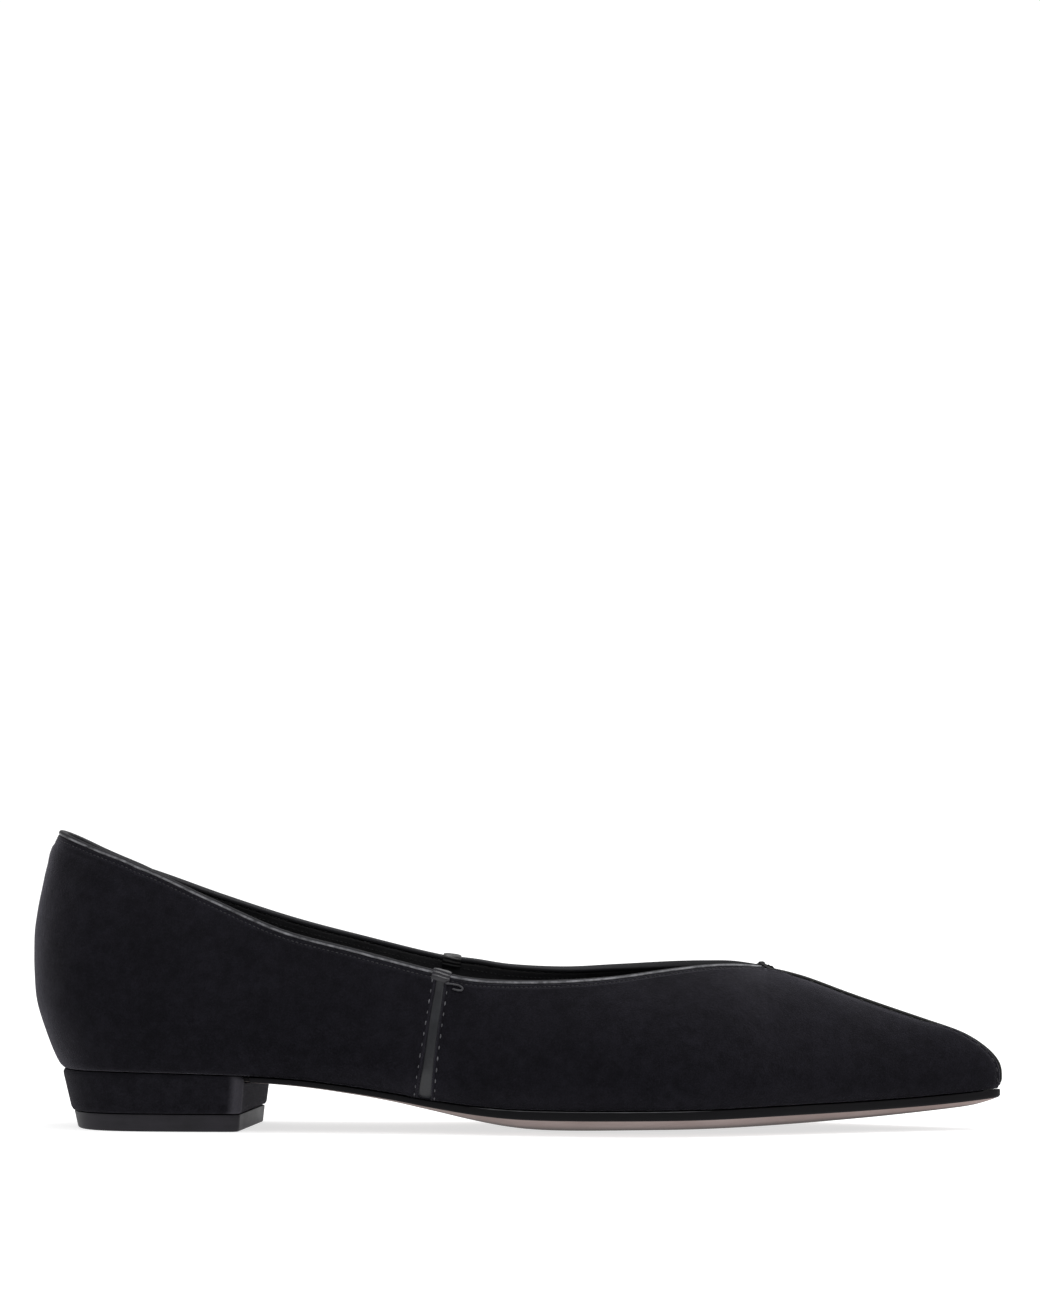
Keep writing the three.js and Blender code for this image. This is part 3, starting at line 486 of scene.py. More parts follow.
class Shader:
    """The node tree of one material."""

    def __init__(self, name):
        self.material = bpy.data.materials.new(name)
        self.material.use_nodes = True
        self.tree = self.material.node_tree
        self.tree.nodes.clear()
        self.place = self.node("TexCoord", {}, output="Object")

    def node(self, kind, inputs, output=0, **settings):
        """A node of one kind, with its settings made first and its sockets then set or linked."""
        node = self.tree.nodes.new("ShaderNode" + kind)
        for key, value in settings.items():
            setattr(node, key, value)
        for key, value in inputs.items():
            if isinstance(value, Socket):
                self.tree.links.new(value.output, node.inputs[key])
            else:
                node.inputs[key].default_value = value
        return Socket(self, node.outputs[output]) if node.outputs else None

    def noise(self, scale, detail=2.0, roughness=0.5):
        inputs = {"Vector": self.place, "Scale": scale, "Detail": detail, "Roughness": roughness}
        return self.node("TexNoise", inputs)

    def mix(self, factor, first, second):
        return self.node("Mix", {0: factor, 6: first, 7: second}, output=2, data_type="RGBA")

    def bump(self, height, distance, strength=1.0):
        return self.node("Bump", {"Height": height, "Distance": distance, "Strength": strength})

    def mark(self, name):
        return self.node("Attribute", {}, output="Fac", attribute_name=name)

    def surface(self, **inputs):
        named = {key.replace("_", " "): value for key, value in inputs.items()}
        shader = self.node("BsdfPrincipled", named, output="BSDF")
        self.node("OutputMaterial", {"Surface": shader})
        return self.material


def suede_material(name, dark, light, rubbed, sheen):
    """Black suede: short nap that lies in patches, lighter where it is brushed up, and lighter along folds and
    corners, partly from rubbing and partly as a painted highlight.
    """
    shader = Shader(name)
    patches = shader.noise(55, 3, 0.6)
    mottle = shader.noise(330, 3, 0.65)
    nap = shader.noise(2600, 3, 0.7)
    fibres = shader.noise(5200, 1)
    lift = (patches - 0.5) * 0.7 + (mottle - 0.5) * 1.0 + (nap - 0.5) * 1.7 + 0.42
    cloth = shader.mix(lift.between(0, 1), (*dark, 1), (*light, 1))
    # Marked places turn towards the lighter colour: partly rubbed nap, partly a painted highlight on crests.
    rub_and_highlight_mask = shader.mark("rub") * (nap * 0.6 + 0.7)
    return shader.surface(
        Base_Color=shader.mix(rub_and_highlight_mask.between(0, 1.2), cloth, (*rubbed, 1)),
        Roughness=0.95,
        Specular_IOR_Level=0.07,
        Sheen_Weight=sheen,
        Sheen_Roughness=0.38,
        Sheen_Tint=(0.62, 0.60, 0.70, 1),
        Normal=shader.bump(nap * 0.7 + fibres * 0.3 + mottle * 0.8, 0.00022, 0.8),
    )


black_suede = suede_material("black_suede", (0.0026, 0.0024, 0.0036), (0.0084, 0.0079, 0.0112),
                             (0.022, 0.021, 0.027), 0.24)

x0 = suede_stations()
SUEDE = 1.15
REST_ROWS = 58
ROWS = len(NEAR_TOP) + REST_ROWS
grids = {side: side_grid(x0, side, NEAR_TOP, REST_ROWS, True) for side in (LATERAL, MEDIAL)}
outer = ring(place(*grids[LATERAL]), place(*grids[MEDIAL]))
outer_numbers = ring_numbers(ROWS, x0, 0)
outer_faces = quads(outer_numbers)
outer_points = outer.reshape(-1, 3).copy()
suede_out = point_normals(outer_points, outer_faces)
HEEL_BACK_ROW = 40
if suede_out[outer_numbers[HEEL_BACK_ROW, 0]][0] > 0:
    suede_out = -suede_out

# Distance below the topline or beside the ridge, and how open the shoe is there, for each point of the ring
steps_down = np.linalg.norm(np.diff(outer, axis=0), axis=-1)
below_top = np.vstack([np.zeros(steps_down.shape[1]), np.cumsum(steps_down, axis=0)]).reshape(-1)
ring_x = ring(x0[None], x0[None])[0]
station = np.tile(ring_x, ROWS)
opening = 1 - smooth_step(station, THROAT_X - 3, THROAT_X)
up_from_sole = outer_points[:, 2] - feather_height(outer_points[:, 0].clip(0, LENGTH))

# The folds beside the strips, which the stitches pull in, lighter along their crests partly from wear and
# partly as a painted highlight
STITCH_PULL, STITCH_PULL_WIDTH = 0.13, 0.32
FOLD_RUB_AND_HIGHLIGHT, FOLD_RUB_AND_HIGHLIGHT_AT = 0.5, 0.35
VAMP_SINKS_OVER, VAMP_RISES_OVER = (3, 9), (44, 54)
relief = np.zeros(len(outer_points))
rub = np.zeros(len(outer_points))
for path in strip_paths.values():
    edge, run = strip_places(outer_points, path)
    count = max(round(path.run[-1] / path.pitch), 1)
    pulled = 0.5 - 0.5 * np.cos(2 * math.pi * run * count / path.run[-1])
    fold = np.interp(edge, FOLD_AT, FOLD_RISE)
    if path is strip_paths["vamp"]:
        sunk = smooth_step(run, *VAMP_SINKS_OVER) * (1 - smooth_step(run, *VAMP_RISES_OVER))
        fold += sunk * (np.interp(edge, FOLD_AT, VAMP_FOLD_RISE) - fold)
    relief += fold
    relief -= STITCH_PULL * bell(edge, STITCH_FROM_FOLD, STITCH_PULL_WIDTH) * pulled
    # Painted highlight along each fold's crest, partly also wear
    rub += FOLD_RUB_AND_HIGHLIGHT * bell(edge, FOLD_RUB_AND_HIGHLIGHT_AT, FOLD_RUB_AND_HIGHLIGHT_AT)

# The turned topline edge and its stitched channel
TURNED_AT = [0, 0.4, 1.0, 1.7, 2.6, 4.2]
TURNED_RISE = [-0.18, 0.02, -0.10, 0.06, 0.03, 0]
EDGE_RUB, EDGE_RUB_AT, EDGE_RUB_WIDTH = 0.35, 1.1, 0.7
relief += opening * np.interp(below_top, TURNED_AT, TURNED_RISE)
rub += opening * EDGE_RUB * bell(below_top, EDGE_RUB_AT, EDGE_RUB_WIDTH)

# The reinforced band round the top of the heel and the seam down its back
BAND_RISE = 0.32
BAND_STARTS_OVER, BAND_ENDS_OVER, BAND_FADES_OVER = (2.6, 3.8), (5.2, 9), (2, 22)
SEAM_RIDGE, SEAM_RIDGE_AT, SEAM_RIDGE_WIDTH = 0.10, 0.9, 0.45
SEAM_GROOVE, SEAM_GROOVE_WIDTH = 0.30, 0.28
heel_back = 1 - smooth_step(station, *BAND_FADES_OVER)
band_end = 1 - smooth_step(below_top, *BAND_ENDS_OVER)
relief += heel_back * BAND_RISE * smooth_step(below_top, *BAND_STARTS_OVER) * band_end
back_line = np.abs(outer_points[:, 1]) + FAR_FROM_STRIP * (outer_points[:, 0] > HEEL_CENTRE)
seam_ridge = SEAM_RIDGE * bell(back_line, SEAM_RIDGE_AT, SEAM_RIDGE_WIDTH)
relief += seam_ridge - SEAM_GROOVE * bell(back_line, 0, SEAM_GROOVE_WIDTH)

# The suede pressed in at the heel seat, small pleats where it is drawn under the sole round the toe, and the
# soft unevenness of drawn suede: each wave with its length, its turn in radians and its height
SEAT_PRESS, SEAT_ENDS_OVER = 0.45, (45, 75)
SOLE_LINE = 1.3
TOE_PLEAT, TOE_STARTS_OVER = 0.07, (215, 250)
WAVES = ((31, 0.3, 0.10), (19, 1.7, 0.07), (12, 2.6, 0.045), (7.3, 4.1, 0.02))
heel_seat = 1 - smooth_step(station, *SEAT_ENDS_OVER)
relief -= heel_seat * SEAT_PRESS * (1 - smooth_step(up_from_sole, 0, SOLE_LINE))
near_toe = smooth_step(station, *TOE_STARTS_OVER) * bell(up_from_sole, 0, SOLE_LINE)
relief += near_toe * TOE_PLEAT * np.sin(outer_points[:, 0] * 2.3 + 3 * np.sin(outer_points[:, 0] * 0.9))
wave = np.zeros(len(outer_points))
for length, turn, size in WAVES:
    slant = outer_points @ np.array([math.cos(turn), 0.4 * math.sin(3 * turn), math.sin(turn)])
    wave += size * np.sin(2 * math.pi * slant / length + 5 * turn)
relief += wave * smooth_step(up_from_sole, 0, 6) * smooth_step(below_top, 1, 9)

outer_points += suede_out * relief[:, None]
suede_mesh = BVHTree.FromPolygons(outer_points.tolist(), outer_faces.tolist())

inner_rows = sorted({*range(0, ROWS, 3), ROWS - 1})
inner_sides = {}
for side, (rib, out, z) in grids.items():
    inner_sides[side] = place(rib, *inset(rib, out, z, SUEDE))[inner_rows]
inner = ring(inner_sides[LATERAL], inner_sides[MEDIAL])
inner_numbers = ring_numbers(len(inner_rows), x0, len(outer_points))
upper_points = np.vstack([outer_points, inner.reshape(-1, 3)])
upper_faces = shell_faces(outer_numbers, inner_numbers, ring_x)
upper_rub = np.concatenate([rub, np.zeros(inner.shape[0] * inner.shape[1])])
upper = add_piece("upper_suede", upper_points, upper_faces, black_suede, rub=upper_rub)
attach(upper, "root")
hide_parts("upper")

# Lining: thin black leather glued inside the suede, its top edge turned in level with the suede's.
# It is joined at the back of the heel and reaches down to the insole.
LINING_GAP = 0.05


def leather_material(name, dark, light, grain, roughness, bump_height, coat=0.0, level=0.5, gathered=None):
    """Smooth leather: fine pebbled grain and uneven gloss. Where it is gathered it has its own colour, and on
    the inside of a gathered wrap it is painted near black as shade.
    """
    shader = Shader(name)
    cells = shader.node("TexVoronoi", {"Vector": shader.place, "Scale": grain, "Smoothness": 0.6},
                        feature="SMOOTH_F1")
    tone = shader.noise(180, 4, 0.6)
    colour = shader.mix(tone.between(0.25, 0.75), (*dark, 1), (*light, 1))
    if gathered:
        mark = shader.mark("gathered")
        colour = shader.mix(mark.between(0, 1), colour, (*gathered, 1))
        # Painted shade on the inner side of a wrap.
        colour = shader.mix(mark.between(1, 2), colour, (0.004, 0.004, 0.0045, 1))
    return shader.surface(
        Base_Color=colour,
        Roughness=(tone - 0.5) * 0.22 + roughness,
        Specular_IOR_Level=level,
        Coat_Weight=coat,
        Coat_Roughness=0.25,
        Normal=shader.bump(cells + tone * 0.5, bump_height, 0.7),
    )


lining_leather = leather_material("lining_leather", (0.0085, 0.0085, 0.0095), (0.0160, 0.0160, 0.0180),
                                  1500, 0.62, 0.00010, level=0.28)
lining_x = even_stations(heel_steps=16, side_steps=66, throat_steps=24, toe_steps=30)
LINING_TOP = np.array([0, 0.5, 1.0, 1.6, 2.2, 3.0])
LINING_REST = 30
lining_rows = len(LINING_TOP) + LINING_REST
skins = {}
for depth in (SUEDE + LINING_GAP, WALL):
    faces_in = {}
    for side in (LATERAL, MEDIAL):
        rib, out, z = side_grid(lining_x, side, LINING_TOP, LINING_REST, False)
        faces_in[side] = place(rib, *inset(rib, out, z, depth))
    skins[depth] = ring(faces_in[LATERAL], faces_in[MEDIAL])
skin_out, skin_in = skins[SUEDE + LINING_GAP], skins[WALL]
numbers_out = ring_numbers(lining_rows, lining_x, 0)
numbers_in = ring_numbers(lining_rows, lining_x, skin_out.shape[0] * skin_out.shape[1])
lining_ring_x = ring(lining_x[None], lining_x[None])[0]
lining_points = np.vstack([skin_out.reshape(-1, 3), skin_in.reshape(-1, 3)])
lining_faces = shell_faces(numbers_out, numbers_in, lining_ring_x)
lining = add_piece("lining_leather", lining_points, lining_faces, lining_leather)
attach(lining, "root")

# Topline binding: a narrow strip of smooth leather rolled over the raw edges of suede and lining and glued.
# A narrow line low on its outer side is glossier and painted light grey as a highlight, and the rest is black
# like the lining.
BINDING_HEIGHT = 1.2
BINDING_LIP = 0.25
BINDING_FOOT = 0.06
BINDING_SIDES = 32
HIGHLIGHT_AT = math.radians(-25)


def edge_frames(x_list, side_list):
    """Frames on the cut edge: a point, and the ways along, out of the leather and out of the shoe."""
    points, leaving = [], []
    for x, side in zip(x_list, side_list):
        rib = rib_at(x, side)
        points.append(place(rib, *profile(rib, np.array(2.0))))
        leaving.append(points[-1] - place(rib, *profile(rib, np.array(1.95))))
        if x >= THROAT_X:
            leaving[-1] = np.array([-1, 0, ridge_height(THROAT_X) - ridge_height(THROAT_X + 1)])
    points, leaving = np.array(points), np.array(leaving)
    along = unit(np.roll(points, -1, axis=0) - np.roll(points, 1, axis=0))
    edge = unit(leaving - along * (leaving * along).sum(-1, keepdims=True))
    steps = np.linalg.norm(np.diff(points, axis=0), axis=-1)
    return SimpleNamespace(points=points, along=along, edge=edge, out=np.cross(along, edge),
                           run=np.concatenate([[0], np.cumsum(steps)]))


def on_edge(frames, i, out, edge, along=0.0):
    """Points in the plane of a frame: out of the shoe, out of the leather's edge, and along it."""
    offsets = np.multiply.outer(out, frames.out[i]) + np.multiply.outer(edge, frames.edge[i])
    ahead = np.full(np.shape(out), along)
    return frames.points[i] + offsets + np.multiply.outer(ahead, frames.along[i])


open_x = x0[x0 <= THROAT_X]
edge_x = np.concatenate([open_x, open_x[-2:0:-1]])
edge_side = np.concatenate([np.full(len(open_x), LATERAL), np.full(len(open_x) - 2, MEDIAL)])
keep = np.concatenate([[True], np.diff(edge_x) != 0])
topline = edge_frames(edge_x[keep], edge_side[keep])
angles = 2 * math.pi * (np.arange(BINDING_SIDES) + 0.5) / BINDING_SIDES
squareness = 1 / np.maximum(np.abs(np.cos(angles)), np.abs(np.sin(angles))) ** 0.4
bead_out = (WALL / 2 + BINDING_LIP) * np.cos(angles) * squareness - WALL / 2
bead_up = BINDING_FOOT + (BINDING_HEIGHT + CLEARANCE - BINDING_FOOT) / 2 * (1 + np.sin(angles) * squareness)
binding_points = np.array([on_edge(topline, i, bead_out, bead_up) for i in range(len(topline.points))])
binding_numbers = np.arange(binding_points.shape[0] * BINDING_SIDES).reshape(-1, BINDING_SIDES)
binding_numbers = np.vstack([binding_numbers, binding_numbers[:1]])
# Mark of that outer line: it makes the binding glossier there and carries its painted highlight.
outside = np.tile(smooth_step(np.cos(angles - HIGHLIGHT_AT), 0.90, 0.99), len(topline.points))


def binding_material():
    shader = Shader("binding_leather")
    tone = shader.noise(320, 4, 0.7)
    polish_and_highlight = shader.mark("outside")
    # Painted highlight colour of the line, light grey.
    highlight_colour = shader.mix(tone.between(0.3, 0.7), (0.040, 0.040, 0.044, 1), (0.210, 0.210, 0.225, 1))
    return shader.surface(
        Base_Color=shader.mix(polish_and_highlight, (0.014, 0.014, 0.016, 1), highlight_colour),
        Roughness=0.70 - polish_and_highlight * 0.30 + (tone - 0.5) * 0.2,
        Specular_IOR_Level=0.15,
        Normal=shader.bump(shader.noise(1400, 3), 0.00008, 0.6),
    )


binding = add_piece("binding_roll", binding_points.reshape(-1, 3), quads(binding_numbers), binding_material(),
                    outside=outside)
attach(binding, "root")
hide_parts("topline_binding")

# Strips: smooth leather let into the suede under its folds, dark grey down both sides and nearly black along
# the vamp. Each ends in a gathered wrap of the same leather over the topline.
STRIP_THICKNESS = 0.7
STRIP_COLUMNS = 11
STRIP_CROWN, STRIP_ROUNDING, STRIP_EDGE_DROP = 0.20, 0.22, 0.16
WRAP_WIDTH = 5
THROAT_WRAP_WIDTH = 3.8
THROAT_WRAP_DEPTH = 2.8
WRAP_THICKNESS = 0.6
WRAP_POINTS = 64
WRAP_ROWS = 15
WRAP_PLEAT = 0.95
strip_leather = leather_material("strip_leather", (0.008, 0.0085, 0.0105), (0.015, 0.016, 0.019), 1300, 0.38,
                                 0.00007, coat=0.12, level=0.30, gathered=(0.015, 0.0145, 0.018))
vamp_leather = leather_material("vamp_strip_leather", (0.0050, 0.0050, 0.0045), (0.0090, 0.0090, 0.0080),
                                1300, 0.65, 0.00007, level=0.12, gathered=(0.008, 0.008, 0.009))


def strip_band(path, top_gap):
    """A strip in its groove: flat underneath, softly crowned on top, with both edges under the suede."""
    keep_to = path.run <= path.run[-1] - top_gap if top_gap > 0 else path.run >= -top_gap
    across = np.linspace(-0.5, 0.5, STRIP_COLUMNS)
    crown = STRIP_CROWN - STRIP_ROUNDING * (across * 2) ** 2 - STRIP_EDGE_DROP * np.abs(across * 2) ** 6
    section_a = np.concatenate([[-0.5], across, [0.5]])
    section_n = np.concatenate([[-STRIP_THICKNESS], crown, [-STRIP_THICKNESS]])
    loops = []
    for i in np.where(keep_to)[0]:
        sideways = np.multiply.outer(section_a * path.width[i], path.across[i])
        loops.append(path.points[i] + sideways + np.multiply.outer(section_n, path.out[i]))
    return np.array(loops)


def capped(loops, first):
    """Faces of a run of loops, closed at both ends."""
    count, size = loops.shape[:2]
    numbers = first + np.arange(count * size).reshape(count, size)
    return [*quads(numbers), tuple(numbers[0]), tuple(numbers[-1][::-1])]


def wrap_band(at, width, first, depth):
    """The gathered wrap over the topline: a soft band round the binding, with small pleats across it."""
    near = BINDING_LIP + CLEARANCE * 0.4
    top = BINDING_HEIGHT + CLEARANCE * 1.3
    far = -WALL - near
    path_out = np.array([-0.05, near * 0.8, near, near * 0.7, -WALL * 0.3, -WALL * 0.7, far * 0.85, far, far])
    path_up = np.array([-depth, -depth * 0.5, 0.6, top * 0.88, top, top, top * 0.88, 0.6, -WRAP_DEPTH])
    length = np.concatenate([[0], np.cumsum(np.hypot(np.diff(path_out), np.diff(path_up)))])
    run = np.linspace(0, length[-1], WRAP_POINTS)
    line = np.stack([np.interp(run, length, path_out), np.interp(run, length, path_up)], axis=-1)
    line[1:-1] = (line[:-2] + 2 * line[1:-1] + line[2:]) / 4
    way = unit(np.gradient(line, axis=0))
    outward = np.stack([way[:, 1], -way[:, 0]], axis=-1)
    points = []
    for w in np.linspace(-1, 1, WRAP_ROWS):
        distance = w * width / 2
        total = topline.run[-1] + np.linalg.norm(topline.points[-1] - topline.points[0])
        place_on = (topline.run[at] + distance) % total
        i = int(np.argmin(np.abs(topline.run - place_on)))
        along = place_on - topline.run[i]
        pleat = 0.5 + 0.5 * np.cos(2 * math.pi * (run / WRAP_PLEAT + 0.12 * math.sin(2.2 * w)))
        ends = np.minimum(1, np.minimum(run, run[-1] - run) / 0.9 + 0.35)
        body = (WRAP_THICKNESS * (0.72 + 0.28 * pleat)) * ends * (1 - 0.55 * abs(w) ** 4)
        for height in (body, 0 * body):
            flat = line + outward * height[:, None]
            points.append(on_edge(topline, i, flat[:, 0], flat[:, 1], along))
    skins = np.array(points).reshape(WRAP_ROWS, 2, WRAP_POINTS, 3)
    loops = np.concatenate([skins[:, 0], skins[:, 1, ::-1]], axis=1)
    return loops, capped(loops, first)


throat_index = int(np.argmax(topline.points[:, 0]))
from_strip = np.abs(topline.points[:, 0] - STRIP_AT)
side_index = {
    side: int(np.argmin(from_strip + FAR_FROM_STRIP * (topline.points[:, 1] * side < 0)))
    for side in (LATERAL, MEDIAL)
}
for side, leather, index, width, gap, depth in (
    ("lateral", strip_leather, side_index[LATERAL], WRAP_WIDTH, 0.6, WRAP_DEPTH),
    ("medial", strip_leather, side_index[MEDIAL], WRAP_WIDTH, 0.6, WRAP_DEPTH),
    ("vamp", vamp_leather, throat_index, THROAT_WRAP_WIDTH, -0.6, THROAT_WRAP_DEPTH),
):
    band = strip_band(strip_paths[side], gap)
    band_faces = capped(band, 0)
    band_size = band.shape[0] * band.shape[1]
    wrap, wrap_faces = wrap_band(index, width, band_size, depth)
    # 1 on the outer half of a wrap, rising to 2 on its inner half, which is painted near black as shade.
    wrap_inside_shade = 1 + smooth_step(np.linspace(0, 1, WRAP_POINTS), 0.5, 0.6)
    gathered = np.concatenate([np.zeros(band_size), np.tile([*wrap_inside_shade, *wrap_inside_shade[::-1]], len(wrap))])
    strip = add_piece(side + "_strip_leather", np.vstack([band.reshape(-1, 3), wrap.reshape(-1, 3)]),
                      [*band_faces, *wrap_faces], leather, sharp=50, gathered=gathered)
    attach(strip, "root")
    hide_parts("strip_" + side)

# Stitching: waxed thread in single rows beside each strip and below the topline, outside and inside. It is
# grey beside the side strips and nearly black elsewhere, and each stitch arches between two needle holes.
THREAD_RADIUS = 0.20
FINE_THREAD_RADIUS = 0.14
TOPLINE_PITCH = 1.25
TOPLINE_STITCH = 0.8
STRIP_STITCH = 1.25
STRIP_THREAD_LIFT = 0.10
OUTER_THREAD_LIFT = 0.08
INNER_THREAD_LIFT = 0.06


def stitch_tree():
    tree = bpy.data.node_groups.new("row_of_stitches", "GeometryNodeTree")
    tree.interface.new_socket("Geometry", in_out="INPUT", socket_type="NodeSocketGeometry")
    for name in ("Pitch", "Half Length", "Thread Radius"):
        tree.interface.new_socket(name, in_out="INPUT", socket_type="NodeSocketFloat")
    tree.interface.new_socket("Thread", in_out="INPUT", socket_type="NodeSocketMaterial")
    tree.interface.new_socket("Geometry", in_out="OUTPUT", socket_type="NodeSocketGeometry")

    def node(kind, inputs, **settings):
        made = tree.nodes.new(kind)
        for key, value in settings.items():
            setattr(made, key, value)
        for key, value in inputs.items():
            if isinstance(value, bpy.types.NodeSocket):
                tree.links.new(value, made.inputs[key])
            else:
                made.inputs[key].default_value = value
        return made

    given = node("NodeGroupInput", {})
    line = node("GeometryNodeMeshToCurve", {"Mesh": given.outputs["Geometry"]})
    spaced = node("GeometryNodeResampleCurve", {"Curve": line.outputs[0], "Length": given.outputs["Pitch"]},
                  mode="LENGTH")
    ball = node("GeometryNodeMeshUVSphere", {"Segments": 6, "Rings": 5, "Radius": 1.0})
    smooth = node("GeometryNodeSetShadeSmooth", {0: ball.outputs["Mesh"]})
    tangent = node("GeometryNodeInputTangent", {})
    turn = node("FunctionNodeAlignRotationToVector", {"Vector": tangent.outputs[0]}, axis="X")
    size = node("ShaderNodeCombineXYZ", {
        0: given.outputs["Half Length"], 1: given.outputs["Thread Radius"], 2: given.outputs["Thread Radius"],
    })
    uneven = node("FunctionNodeRandomValue", {2: 0.75, 3: 1.12, "Seed": 7}, data_type="FLOAT")
    scaled = node("ShaderNodeVectorMath", {0: size.outputs[0], "Scale": uneven.outputs[1]}, operation="SCALE")
    stitches = node("GeometryNodeInstanceOnPoints", {
        "Points": spaced.outputs[0], "Instance": smooth.outputs[0], "Rotation": turn.outputs[0],
        "Scale": scaled.outputs[0],
    })
    real = node("GeometryNodeRealizeInstances", {0: stitches.outputs[0]})
    threaded = node("GeometryNodeSetMaterial", {0: real.outputs[0], "Material": given.outputs["Thread"]})
    node("NodeGroupOutput", {0: threaded.outputs[0]})
    return tree


def thread_material(name, dark, light):
    shader = Shader(name)
    twist = shader.noise(1900, 2)
    return shader.surface(
        Base_Color=shader.mix(twist.between(0.3, 0.7), (*dark, 1), (*light, 1)),
        Roughness=0.55,
        Specular_IOR_Level=0.3,
        Normal=shader.bump(twist, 0.00006, 0.7),
    )


stitch_nodes = stitch_tree()
grey_thread = thread_material("grey_thread", (0.040, 0.040, 0.045), (0.100, 0.100, 0.110))
dark_thread = thread_material("dark_thread", (0.007, 0.007, 0.008), (0.022, 0.022, 0.025))
cord_thread = thread_material("cord_thread", (0.018, 0.018, 0.021), (0.040, 0.040, 0.045))


def stitched(name, lines, pitch, length, radius, thread):
    """Rows of stitches along lines of points, as one plain mesh."""
    points, edges = [], []
    for line in lines:
        first = len(points)
        points += line
        edges += [(first + i, first + i + 1) for i in range(len(line) - 1)]
    mesh = bpy.data.meshes.new(name + "_line")
    mesh.from_pydata(((np.array(points) + FRAME_SHIFT) * MM).tolist(), edges, [])
    guide = bpy.data.objects.new(name + "_line", mesh)
    bpy.context.scene.collection.objects.link(guide)
    modifier = guide.modifiers.new("stitches", "NODES")
    modifier.node_group = stitch_nodes
    sizes = {"Pitch": pitch * MM, "Half Length": length / 2 * MM, "Thread Radius": radius * MM,
             "Thread": thread}
    for item in stitch_nodes.interface.items_tree:
        if item.in_out == "INPUT" and item.name in sizes:
            modifier[item.identifier] = sizes[item.name]
    bpy.context.view_layer.update()
    evaluated = guide.evaluated_get(bpy.context.evaluated_depsgraph_get())
    made = bpy.data.meshes.new_from_object(evaluated)
    made.name = name
    bpy.data.objects.remove(guide)
    rows = bpy.data.objects.new(name, made)
    bpy.context.scene.collection.objects.link(rows)
    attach(rows, "root")


def on_suede(point, out, lift):
    """The place on the suede under a point, raised by the thread's lift."""
    start = Vector(point + out * 4)
    hit, normal, _, _ = suede_mesh.ray_cast(start, Vector(-out))
    if hit is None:
        return None
    if normal.dot(Vector(out)) < 0:
        normal = -normal
    return list(hit + normal * lift)


def beside_strip(path, sideways, start, end):
    """A line of points on the suede beside a strip."""
    line = []
    for run in np.arange(path.run[0] + start, path.run[-1] - end, 0.5):
        i = int(np.argmin(np.abs(path.run - run)))
        offset = sideways * (path.width[i] / 2 + STITCH_FROM_FOLD)
        found = on_suede(path.points[i] + path.across[i] * offset, path.out[i], STRIP_THREAD_LIFT)
        if found:
            line.append(found)
    return line


side_lines = [beside_strip(strip_paths[name], s, 0.4, 1.4) for name in ("lateral", "medial") for s in (-1, 1)]
stitched("side_strip_stitches", side_lines, SIDE_PITCH, STRIP_STITCH, THREAD_RADIUS, grey_thread)
vamp_lines = [beside_strip(strip_paths["vamp"], s, 2.2, 0.4) for s in (-1, 1)]
stitched("vamp_strip_stitches", vamp_lines, VAMP_PITCH, STRIP_STITCH, THREAD_RADIUS, dark_thread)


def topline_row(points, numbers_of_ring, xs, lift_from):
    """A row of points of a ring, along the open part of the shoe."""
    open_columns = np.where(xs < THROAT_X - 0.2)[0]
    split = int(np.argmax(np.diff(open_columns) > 1)) + 1
    order = np.concatenate([open_columns[split:], open_columns[:split]])
    return [list(points[numbers_of_ring[n]] + lift_from[n]) for n in order]


STITCH_ROW = 3
outer_row = outer_numbers[STITCH_ROW]
outer_lift = suede_out[outer_row] * OUTER_THREAD_LIFT
outside_line = topline_row(outer_points, outer_row, ring_x, outer_lift)
inner_skin = skin_in.reshape(-1, 3)
INNER_ROW = 3
inner_row = numbers_in[INNER_ROW] - numbers_in[0, 0]
inward = skin_in[INNER_ROW] - skin_out[INNER_ROW]
inside_line = topline_row(inner_skin, inner_row, lining_ring_x, unit(inward) * INNER_THREAD_LIFT)
stitched("topline_stitches", [outside_line, inside_line], TOPLINE_PITCH, TOPLINE_STITCH, FINE_THREAD_RADIUS,
         dark_thread)

# Insole: a thin board covered with a black leather sock, lightly crowned and rounded at its rim.
# It lies on the sole inside the wall and shows only through the mouth of the shoe.
INSOLE_THICKNESS = 2
SAME_POINT = 2e-6
FLAT_SPOT_DEPTH = 0.5


def sole_edge(x):
    return SOLE_THICKNESS * edge_share(x / LENGTH)


def sole_top(x):
    return feather_height(x) - CLEARANCE


def sole_middle(x):
    return sole_top(x) - sole_edge(x) - (SOLE_CROWN + FLAT_SPOT_DEPTH) * crown_share(x / LENGTH)


def sole_middle_top(x):
    return sole_middle(x) + sole_edge(x)


def crowned(middle, edge, share):
    return np.maximum(middle + (edge - middle) * share ** 2, 0)


